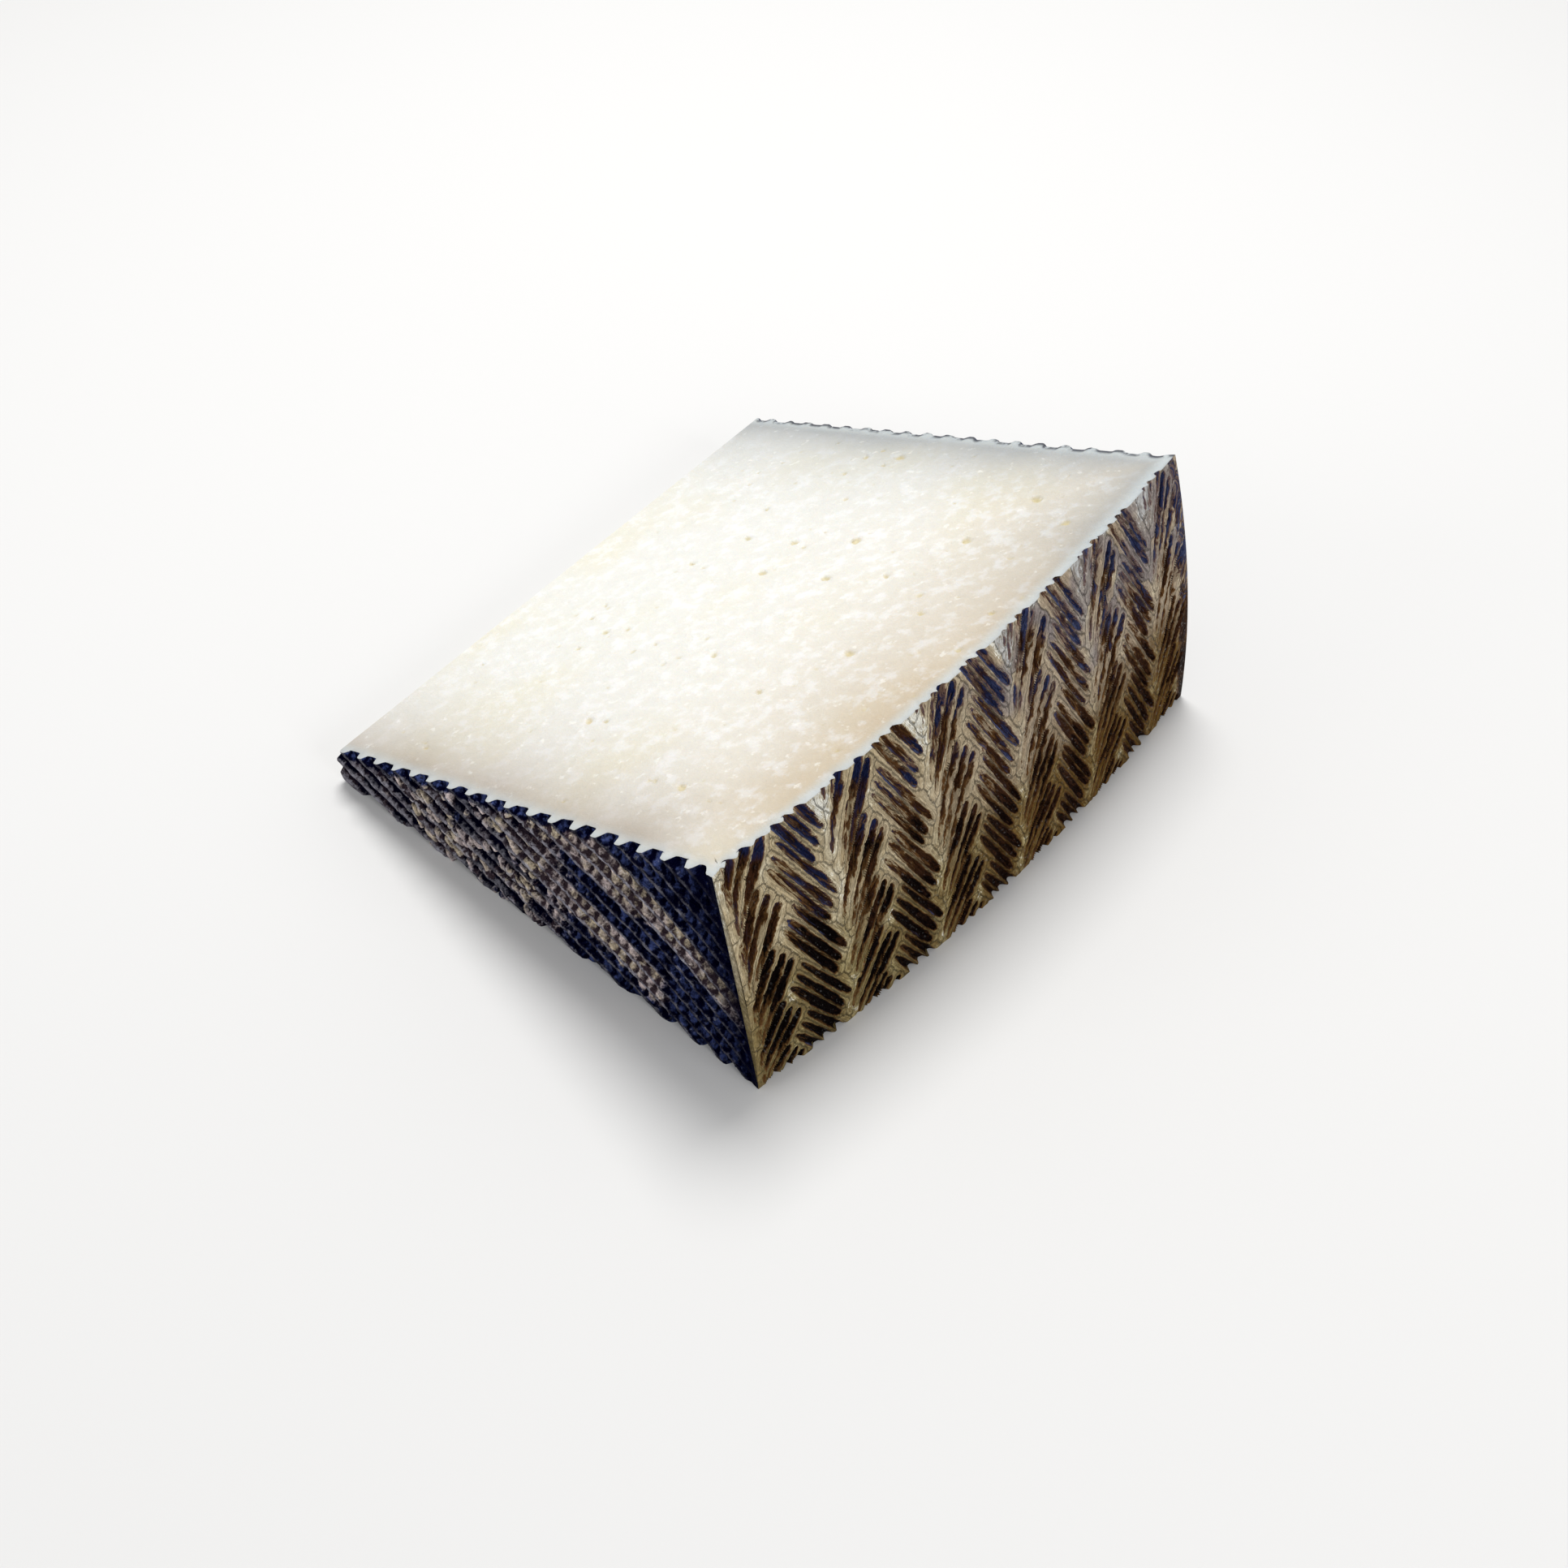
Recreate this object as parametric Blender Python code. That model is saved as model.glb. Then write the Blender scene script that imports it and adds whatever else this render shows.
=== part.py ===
"""A wedge of hard sheep's-milk cheese with a plaited rind, lying on one of its two cut faces.

The wedge is a sector of a wheel. X runs from its blunt tip, near the wheel's axis, out to the rind,
Y runs along the wheel's axis from one flat face of the wheel to the other, and Z is up. The rind's
outer side carries the herringbone imprint of a plaited band, pressed in as grooves, and the wheel's
two flat faces carry the long ridges of a board. Lengths are millimetres until a vertex is made.
"""

import math

import bmesh
import bpy
from mathutils import Vector

MM = 0.001

# The wheel that the wedge was cut from
WHEEL_HEIGHT = 106.2
RIM_RADIUS = 148.0
BULGE = 3.5
RIND_CENTRE_X = -57.8
RIND_CENTRE_Z = -5.7
OUTERMOST_X = 93.6
BACK_SKEW = 1.8

# The upper cut face and the blunt tip
TIP_HEIGHT = 7.1
CUT_SLOPE = math.tan(math.radians(21.3))
CUT_LEAN = math.tan(math.radians(3.4))
TIP_RUN = 7.5
TIP_CROWN = 1.1

# The middle of the base, which stands at the origin, from the tip's lower front corner
CENTRE = Vector((0.5 * (OUTERMOST_X - TIP_RUN - TIP_CROWN), 0.5 * (WHEEL_HEIGHT + BACK_SKEW), 0.0))

# The plaited imprint: pairs of columns along the axis, groups of three strokes round the rind
COLUMN_PAIR_PITCH = 19.25
COLUMN_PAIRS = 6
COLUMN_START = 0.6
GROUP_TOP = 30.4
GROUP_PITCH = 10.85
GROUP_SHRINK = 0.35
GROUPS = range(-2, 4)
STROKES_IN_GROUP = 3
FRONT_RIM = 1.3
BACK_RIM = 3.0
GROOVE_LIFT = 0.5

# The points of a stroke: place along the axis and its step from one stroke to the next, place round
# the rind in groups and its step, width and depth
FALLING_STROKE = (
    (9.5, -1.05, 0.19, 0.155, 0.7, 0.2),
    (10.9, -1.05, 0.4, 0.16, 1.25, 0.7),
    (15.6, -1.08, 1.17, 0.175, 1.45, 0.9),
    (17.0, -1.1, 1.4, 0.18, 0.9, 0.4),
)
RISING_STROKE = (
    (5.0, 1.3, -0.32, 0.175, 1.1, 0.4),
    (3.5, 1.42, -0.08, 0.155, 1.75, 1.0),
    (1.95, 1.35, 0.175, 0.145, 1.65, 0.95),
    (-0.1, 1.13, 0.52, 0.175, 1.15, 0.55),
    (-1.25, 0.7, 0.86, 0.22, 0.5, 0.2),
)

# The board's ridges on the two flat faces of the wheel, and the channels between them
RIDGE_FIRST = 11.07
RIDGE_PITCH = 3.31
RIDGE_SPREAD = 0.12
RIDGE_SPREAD_FROM = 12.3
RIDGE_FALL = 0.33
RIDGE_BEND = 0.008
RIDGE_BEND_FROM = 62.0
RIDGES = range(-4, 18)
RIDGE_HALF_TOP = 0.3
RIDGE_HALF_FOOT = 0.75
CHANNEL_DEPTH = 1.3
CHANNEL_END_DEPTH = 0.15
CHANNEL_END_GAP = 3.5
CHANNEL_LIFT = 0.6
CHANNEL_STEP = 8.0
CHANNEL_OVERRUN = 4.0

# The larger eyes in the upper cut face: place from the tip and from the front, and radius
EYES = (
    (45.0, 74.0, 1.5), (67.3, 90.6, 1.5), (63.6, 77.6, 1.3), (33.9, 98.9, 1.3), (24.5, 70.5, 1.1),
    (35.4, 62.0, 1.2), (20.0, 61.5, 1.1), (47.8, 63.2, 1.3), (57.5, 66.0, 1.1), (34.1, 71.2, 1.2),
    (66.2, 47.0, 1.2), (44.9, 40.6, 1.1), (59.4, 34.9, 1.1), (37.7, 20.8, 1.3), (64.8, 13.2, 1.2),
    (20.6, 40.6, 1.1), (69.9, 58.6, 1.0), (76.1, 85.3, 1.2),
)
EYE_FLATNESS = 0.7

# How finely the body is made
SECTIONS = 16
RIND_STEPS = 6
TIP_STEPS = 4
HALVINGS = 40
FLAT_ANGLE = math.radians(0.02)
OUTER_NORMAL = 0.8

PASTE_COLOUR = (0.80, 0.74, 0.60)
RIND_COLOUR = (0.10, 0.075, 0.055)


def rind_radius(y):
    """The rind's radius at a place along the wheel's axis, in the barrel form of the side."""
    across = 2.0 * y / WHEEL_HEIGHT - 1.0
    return RIM_RADIUS + BULGE * (1.0 - across * across)


def rind_point(y, rise, depth):
    """A point under the rind: y along the axis, rise round the rind from the base, depth below it."""
    radius = rind_radius(y)
    angle = math.asin(-RIND_CENTRE_Z / radius) + rise / radius
    reach = radius - depth
    return Vector((RIND_CENTRE_X + reach * math.cos(angle), y, RIND_CENTRE_Z + reach * math.sin(angle)))


def rind_x(y, z):
    """How far out the rind stands at a height."""
    radius = rind_radius(y)
    return RIND_CENTRE_X + math.sqrt(radius * radius - (z - RIND_CENTRE_Z) ** 2)


def cut_height(x, y):
    """The height of the upper cut face."""
    return TIP_HEIGHT + CUT_SLOPE * x + CUT_LEAN * y


def tip_x(y):
    """Where the blunt tip stands: it runs back a little from square to the wheel's faces."""
    return -TIP_RUN * y / WHEEL_HEIGHT


def rind_rise(y):
    """How far round the rind the upper cut face meets it, found by halving the interval."""
    low, high = 0.0, WHEEL_HEIGHT
    for _ in range(HALVINGS):
        middle = 0.5 * (low + high)
        point = rind_point(y, middle, 0.0)
        if point.z < cut_height(point.x, y):
            low = middle
        else:
            high = middle
    return low


def face_y(y, x):
    """Turns the sections gradually, so that the last is the wheel's leaning back face."""
    reach = (OUTERMOST_X - x) / (OUTERMOST_X + TIP_RUN)
    return y * (1.0 + BACK_SKEW / WHEEL_HEIGHT * reach)


def loft(name, rings, home, finish):
    """Adds the closed body that is skinned over rings of points, all with the same count."""
    skin = bmesh.new()
    rows = [[skin.verts.new((Vector(point) - CENTRE) * MM) for point in ring] for ring in rings]
    count = len(rows[0])
    for here, there in zip(rows, rows[1:]):
        for k in range(count):
            after = (k + 1) % count
            skin.faces.new((here[k], here[after], there[after], there[k]))
    skin.faces.new(rows[0])
    skin.faces.new(rows[-1])
    bmesh.ops.recalc_face_normals(skin, faces=skin.faces)
    bmesh.ops.dissolve_limit(skin, angle_limit=FLAT_ANGLE, verts=skin.verts, edges=skin.edges)
    return add_object(name, skin, home, finish)


def add_object(name, skin, home, finish):
    """Makes a bmesh into an object of a collection, in one finish."""
    mesh = bpy.data.meshes.new(name)
    skin.to_mesh(mesh)
    skin.free()
    mesh.materials.append(finish)
    made = bpy.data.objects.new(name, mesh)
    home.objects.link(made)
    return made


def make_material(name, colour, roughness):
    """A plain finish for one substance of the cheese."""
    finish = bpy.data.materials.new(name)
    finish.use_nodes = True
    shader = finish.node_tree.nodes["Principled BSDF"]
    shader.inputs["Base Color"].default_value = (*colour, 1.0)
    shader.inputs["Roughness"].default_value = roughness
    shader.inputs["Metallic"].default_value = 0.0
    finish.diffuse_color = (*colour, 1.0)
    return finish


def wedge_ring(y):
    """The wedge's outline at one section: up the crowned tip, then down the rind."""
    tip = tip_x(y)
    tip_top = cut_height(tip, face_y(y, tip))
    ring = []
    for k in range(TIP_STEPS + 1):
        up = k / TIP_STEPS
        x = tip - TIP_CROWN * 4.0 * up * (1.0 - up)
        ring.append(Vector((x, face_y(y, x), tip_top * up)))
    rise = rind_rise(y)
    for k in range(RIND_STEPS, -1, -1):
        point = rind_point(y, rise * k / RIND_STEPS, 0.0)
        ring.append(Vector((point.x, face_y(y, point.x), point.z)))
    return ring


def build_wedge(home, paste, rind):
    """The uncut body of the wedge, with its rind faces in the rind's finish."""
    sections = [wedge_ring(WHEEL_HEIGHT * k / SECTIONS) for k in range(SECTIONS + 1)]
    wedge = loft("cheese_wedge", sections, home, paste)
    wedge.data.materials.append(rind)
    for face in wedge.data.polygons:
        outward = face.normal.x > OUTER_NORMAL or abs(face.normal.y) > OUTER_NORMAL
        face.material_index = int(outward)
    return wedge


def plait_rise(turn):
    """Round the rind, in millimetres, of a place counted in groups of strokes from the top."""
    return GROUP_TOP - GROUP_PITCH * turn + GROUP_SHRINK * turn * turn


def off_front_rim(y):
    """Eases a stroke's end to a stop just short of the front rim."""
    past = y - FRONT_RIM
    return FRONT_RIM + 0.5 * (past + math.sqrt(past * past + 1.0))


def stroke_points(kind, pair, group, k):
    """One stroke's points: along the axis, round the rind, width and depth."""
    start = COLUMN_START + COLUMN_PAIR_PITCH * pair
    points = []
    for along, along_step, turn, turn_step, width, depth in kind:
        y = off_front_rim(start + along + along_step * k)
        points.append((y, plait_rise(group + turn + turn_step * k), width, depth))
    return points


def cut_groove(name, points, home, finish):
    """A groove's cutter: a V that follows points on the rind."""
    rings = []
    for k, (y, rise, width, depth) in enumerate(points):
        before, after = points[max(k - 1, 0)], points[min(k + 1, len(points) - 1)]
        run = Vector((after[0] - before[0], after[1] - before[1])).normalized()
        flare = 0.5 * width * (1.0 + GROOVE_LIFT / depth)
        side = Vector((-run.y, run.x)) * flare
        rings.append([
            rind_point(y + side.x, rise + side.y, -GROOVE_LIFT),
            rind_point(y - side.x, rise - side.y, -GROOVE_LIFT),
            rind_point(y, rise, depth),
        ])
    loft(name, rings, home, finish)


def on_wedge(points):
    """Whether a stroke reaches in from the back rim, and between the base and the upper cut face."""
    rises = [point[1] for point in points]
    in_height = max(rises) > 0.0 and min(rises) < rind_rise(WHEEL_HEIGHT)
    return in_height and min(point[0] for point in points) < WHEEL_HEIGHT - BACK_RIM


def build_plait(home, finish):
    """Cutters for every stroke of the herringbone that touches the wedge's rind."""
    for pair in range(COLUMN_PAIRS):
        for group in GROUPS:
            for k in range(STROKES_IN_GROUP):
                for label, kind in (("falling", FALLING_STROKE), ("rising", RISING_STROKE)):
                    points = stroke_points(kind, pair, group, k)
                    if on_wedge(points):
                        cut_groove(f"{label}_{pair}_{group}_{k}", points, home, finish)


def ridge_z(ridge, x):
    """The height of a ridge's crest on the wheel's flat face; it falls outwards and bends down."""
    spread = RIDGE_SPREAD * max(0.0, ridge - RIDGE_SPREAD_FROM) ** 2
    bend = RIDGE_BEND * max(0.0, x - RIDGE_BEND_FROM) ** 2
    return RIDGE_FIRST + RIDGE_PITCH * ridge + spread - RIDGE_FALL * x - bend


def channel_places(ridge, y):
    """Places along a channel, from the upper cut or the tip to the base or just short of the rim."""
    crossing = (RIDGE_FIRST + RIDGE_PITCH * (ridge + 1.0) - cut_height(0.0, y)) / (CUT_SLOPE + RIDGE_FALL)
    x = max(tip_x(y) - CHANNEL_OVERRUN, crossing - CHANNEL_STEP)
    places = []
    while True:
        middle = 0.5 * (ridge_z(ridge, x) + ridge_z(ridge + 1, x))
        end = rind_x(y, max(middle, 0.0)) - CHANNEL_END_GAP
        if x >= end:
            places.append((end, CHANNEL_END_DEPTH))
            return places
        places.append((x, CHANNEL_DEPTH))
        if middle < -CHANNEL_OVERRUN:
            return places
        x += CHANNEL_STEP


def cut_channel(name, ridge, y, inward, home, finish):
    """The cutter for one channel between two ridges of a flat face."""
    rings = []
    for x, depth in channel_places(ridge, y):
        low, high = ridge_z(ridge, x), ridge_z(ridge + 1, x)
        face = face_y(y, x)
        rings.append([
            Vector((x, face - CHANNEL_LIFT * inward, low + RIDGE_HALF_TOP)),
            Vector((x, face - CHANNEL_LIFT * inward, high - RIDGE_HALF_TOP)),
            Vector((x, face + depth * inward, high - RIDGE_HALF_FOOT)),
            Vector((x, face + depth * inward, low + RIDGE_HALF_FOOT)),
        ])
    if len(rings) > 1:
        loft(name, rings, home, finish)


def build_channels(home, finish):
    """Cutters for the channels of both flat faces of the wheel."""
    for side, y, inward in (("front", 0.0, 1.0), ("back", WHEEL_HEIGHT, -1.0)):
        for ridge in RIDGES:
            cut_channel(f"channel_{side}_{ridge}", ridge, y, inward, home, finish)


def build_eyes(home, finish):
    """Shallow round cutters for the larger eyes of the upper cut face."""
    for k, (x, y, radius) in enumerate(EYES):
        skin = bmesh.new()
        bmesh.ops.create_icosphere(skin, subdivisions=1, radius=radius * MM)
        for vertex in skin.verts:
            vertex.co.z *= EYE_FLATNESS
            vertex.co += (Vector((x, y, cut_height(x, y))) - CENTRE) * MM
        add_object(f"eye_{k}", skin, home, finish)


def new_collection(name):
    """A collection of the scene."""
    home = bpy.data.collections.new(name)
    bpy.context.scene.collection.children.link(home)
    return home


def main():
    """Builds the wedge and cuts its relief."""
    for old in list(bpy.data.objects):
        bpy.data.objects.remove(old)
    parts = new_collection("manchego_cheese_wedge")
    cutters = new_collection("relief_cutters")
    paste = make_material("ivory_paste", PASTE_COLOUR, 0.45)
    rind = make_material("plaited_rind", RIND_COLOUR, 0.5)
    wedge = build_wedge(parts, paste, rind)
    build_plait(cutters, rind)
    build_channels(cutters, rind)
    build_eyes(cutters, paste)
    for cutter in cutters.objects:
        cutter.hide_render = True
        cutter.display_type = "WIRE"
    relief = wedge.modifiers.new("relief", "BOOLEAN")
    relief.operation = "DIFFERENCE"
    relief.operand_type = "COLLECTION"
    relief.collection = cutters
    relief.solver = "EXACT"
    relief.material_mode = "TRANSFER"


main()
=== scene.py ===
"""Looks of a wedge of hard sheep's-milk cheese that lies on one of its cut faces.

The wedge is dressed in four closed pieces that meet along its edges: the paste with its two cut
faces and its blunt tip, the rind with the herringbone imprint of a plaited band, and the wheel's two
flat sides with the ridges and knots of a mat. Lengths are millimetres from the tip's lower front
corner, with x out to the rind, y along the wheel's axis and z up, until a vertex is made.
"""

import logging
import math
from dataclasses import dataclass, field
from enum import Enum
from functools import cached_property, lru_cache

import bmesh
import bpy
import numpy as np
from mathutils import Matrix, Vector
from mathutils.geometry import delaunay_2d_cdt


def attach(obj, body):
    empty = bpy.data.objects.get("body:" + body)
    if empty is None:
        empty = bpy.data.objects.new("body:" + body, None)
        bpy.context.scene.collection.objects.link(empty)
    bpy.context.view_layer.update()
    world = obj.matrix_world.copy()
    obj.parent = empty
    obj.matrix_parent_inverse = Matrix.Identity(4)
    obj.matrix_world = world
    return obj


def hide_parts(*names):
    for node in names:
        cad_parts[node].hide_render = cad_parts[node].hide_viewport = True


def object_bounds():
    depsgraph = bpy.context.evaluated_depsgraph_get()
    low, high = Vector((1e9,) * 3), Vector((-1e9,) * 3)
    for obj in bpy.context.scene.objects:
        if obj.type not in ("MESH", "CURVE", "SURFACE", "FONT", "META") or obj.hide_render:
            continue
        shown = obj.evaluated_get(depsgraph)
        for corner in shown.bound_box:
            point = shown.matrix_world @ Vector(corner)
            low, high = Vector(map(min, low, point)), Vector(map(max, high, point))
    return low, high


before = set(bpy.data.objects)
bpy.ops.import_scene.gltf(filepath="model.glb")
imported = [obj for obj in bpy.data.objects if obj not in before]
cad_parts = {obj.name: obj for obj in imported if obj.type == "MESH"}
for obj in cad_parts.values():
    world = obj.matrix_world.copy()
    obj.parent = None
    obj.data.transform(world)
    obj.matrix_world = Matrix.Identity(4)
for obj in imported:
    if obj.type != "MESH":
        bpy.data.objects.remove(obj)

CAD_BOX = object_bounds()
NODE = "cheese_wedge"
BODY = "root"
MM = 0.001

LATTICE = 256

Array = np.ndarray
Colour = tuple[float, float, float]
Span = tuple[float, float]

log = logging.getLogger("cheese")


def smooth_step(value: Array, low: float, high: float) -> Array:
    """Eases from 0 at low to 1 at high.

    Args:
        value: What is eased.
        low: Where the result is still 0.
        high: Where the result reaches 1; it may be below low.

    Returns:
        The eased share at each value.
    """
    share = np.clip((value - low) / (high - low), 0.0, 1.0)
    return share * share * (3.0 - 2.0 * share)


def shares(count: int) -> Array:
    """Even shares from 0 to 1, a count of steps."""
    return np.linspace(0.0, 1.0, count + 1)


@lru_cache
def lattice(seed: int, least: float) -> Array:
    """A square of random values from least to 1."""
    return np.random.default_rng(seed).uniform(least, 1.0, (LATTICE, LATTICE))


def wander(first: Array, second: Array, pitch: float, seed: int) -> Array:
    """Smooth unevenness over two coordinates.

    Args:
        first: One coordinate.
        second: The other coordinate.
        pitch: The distance between the random values, in the coordinates' unit.
        seed: Which unevenness.

    Returns:
        Values from -1 to 1, which change gradually.
    """
    values = lattice(seed, -1.0)
    column, row = first / pitch, second / pitch
    left, low = np.floor(column).astype(int), np.floor(row).astype(int)
    across, up = smooth_step(column - left, 0.0, 1.0), smooth_step(row - low, 0.0, 1.0)

    def level(j: Array) -> Array:
        """The values along one row of the lattice."""
        near, far = values[left % LATTICE, j % LATTICE], values[(left + 1) % LATTICE, j % LATTICE]
        return near * (1.0 - across) + far * across

    return level(low) * (1.0 - up) + level(low + 1) * up


def chance(first: Array, second: Array, seed: int) -> Array:
    """A random number from 0 to 1 for each pair of whole numbers."""
    return lattice(seed, 0.0)[first.astype(int) % LATTICE, second.astype(int) % LATTICE]


def cells(first: Array, second: Array, seed: int) -> tuple[Array, Array]:
    """Irregular cells over two coordinates, about one to each square of 1 by 1.

    Args:
        first: One coordinate.
        second: The other coordinate.
        seed: Which cells.

    Returns:
        How far in from the border of its cell each place is, and a random number for the cell.
    """
    margin, play = 0.12, 0.76
    column, row = np.floor(first), np.floor(second)
    nearest, following = np.full_like(first, np.inf), np.full_like(first, np.inf)
    lot = np.zeros_like(first)
    for i in (-1.0, 0.0, 1.0):
        for j in (-1.0, 0.0, 1.0):
            home, level = column + i, row + j
            aside = home + margin + play * chance(home, level, seed) - first
            above = level + margin + play * chance(home, level, seed + 1) - second
            away = np.hypot(aside, above)
            closer = away < nearest
            following = np.where(closer, nearest, np.minimum(following, away))
            nearest = np.where(closer, away, nearest)
            lot = np.where(closer, chance(home, level, seed + 2), lot)
    return following - nearest, lot


@dataclass(frozen=True)
class Wheel:
    """The wheel's form round the wedge, with the two cuts and the tip, as the solid has them."""

    height: float = 106.2
    rim_radius: float = 148.0
    bulge: float = 3.5
    centre_x: float = -57.8
    centre_z: float = -5.7
    outermost_x: float = 93.6
    back_skew: float = 1.8
    tip_height: float = 7.1
    cut_slope: float = math.tan(math.radians(21.3))
    cut_lean: float = math.tan(math.radians(3.4))
    tip_run: float = 7.5
    tip_crown: float = 1.04

    def radius(self, y: Array) -> Array:
        """The rind's radius along the axis, in the barrel form of the side."""
        across = 2.0 * y / self.height - 1.0
        return self.rim_radius + self.bulge * (1.0 - across * across)

    def cut_height(self, x: Array, y: Array) -> Array:
        """The height of the upper cut face."""
        return self.tip_height + self.cut_slope * x + self.cut_lean * y

    def rind(self, y: Array, rise: Array) -> tuple[Array, Array]:
        """The rind's surface before the plait.

        Args:
            y: Places along the axis.
            rise: How far round the rind they are from the base.

        Returns:
            Their x and their z.
        """
        radius = self.radius(y)
        angle = np.arcsin(-self.centre_z / radius) + rise / radius
        return self.centre_x + radius * np.cos(angle), self.centre_z + radius * np.sin(angle)

    def leaning(self, y: Array, x: Array) -> Array:
        """Where a section stands along the axis, as the back face leans."""
        reach = (self.outermost_x - x) / (self.outermost_x + self.tip_run)
        return y * (1.0 + self.back_skew / self.height * reach)

    @cached_property
    def rise_table(self) -> tuple[Array, Array]:
        """How far round the rind the upper cut meets it, found by halving.

        Returns:
            Places along the axis, and the rise at each.
        """
        places, halvings = 161, 40
        y = np.linspace(0.0, self.height, places)
        low, high = np.zeros_like(y), np.full_like(y, self.height)
        for _ in range(halvings):
            middle = 0.5 * (low + high)
            x, z = self.rind(y, middle)
            under = z < self.cut_height(x, y)
            low, high = np.where(under, middle, low), np.where(under, high, middle)
        return y, low

    def rise(self, y: Array) -> Array:
        """How far round the rind the upper cut meets it."""
        return np.interp(y, *self.rise_table)

    def tip_x(self, y: Array) -> Array:
        """Where the blunt tip stands."""
        return -self.tip_run * y / self.height

    def place(self, out: Array, y: Array, up: Array) -> Array:
        """A point of the wedge's body.

        Args:
            out: The share of the way from the tip to the rind.
            y: The place along the wheel's axis.
            up: The share of the way from the base to the upper cut.

        Returns:
            Points, with x, y and z in the last axis.
        """
        out, y, up = np.broadcast_arrays(out, y, up)
        rind_x, rind_z = self.rind(y, up * self.rise(y))
        edge = self.tip_x(y)
        tip_x = edge - self.tip_crown * 4.0 * up * (1.0 - up)
        tip_z = up * self.cut_height(edge, self.leaning(y, edge))
        x = tip_x + out * (rind_x - tip_x)
        z = tip_z + out * (rind_z - tip_z)
        return np.stack((x, self.leaning(y, x), z), axis=-1)

    def width(self, y: Array, up: Array) -> Array:
        """From the tip to the rind at a place along the axis and a share of the way up."""
        return self.rind(y, up * self.rise(y))[0] - self.tip_x(y)

    def origin(self) -> Vector:
        """The place of the tip's lower front corner, read from the solid.

        Returns:
            The place in the frame, in metres.
        """
        low, high = CAD_BOX
        widest = self.rim_radius + self.bulge
        outermost = self.centre_x + math.sqrt(widest * widest - self.centre_z * self.centre_z)
        return Vector((high.x - outermost * MM, low.y, low.z))


class Lay(Enum):
    """Which way a column of the plait runs, with the points of its strokes.

    Each point has its place along the axis and that place's step from stroke to stroke, its place
    round the rind in groups and its step, and the stroke's width, depth and darkness there.
    """

    FALLING = (
        (9.5, -1.05, 0.19, 0.155, 0.70, 0.25, 0.50),
        (10.6, -1.05, 0.36, 0.160, 1.15, 0.60, 0.66),
        (13.2, -1.06, 0.78, 0.168, 1.38, 0.85, 0.84),
        (15.6, -1.08, 1.17, 0.175, 1.45, 0.95, 1.00),
        (17.0, -1.10, 1.40, 0.180, 0.95, 0.55, 1.00),
    )
    RISING = (
        (5.0, 1.30, -0.32, 0.175, 1.25, 0.55, 0.95),
        (3.5, 1.42, -0.08, 0.155, 1.70, 1.05, 1.00),
        (1.95, 1.35, 0.175, 0.145, 1.65, 1.00, 0.88),
        (0.45, 1.25, 0.41, 0.163, 1.30, 0.70, 0.62),
        (-0.65, 1.00, 0.64, 0.190, 1.00, 0.45, 0.48),
        (-1.25, 0.70, 0.86, 0.220, 0.60, 0.25, 0.36),
    )


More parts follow.
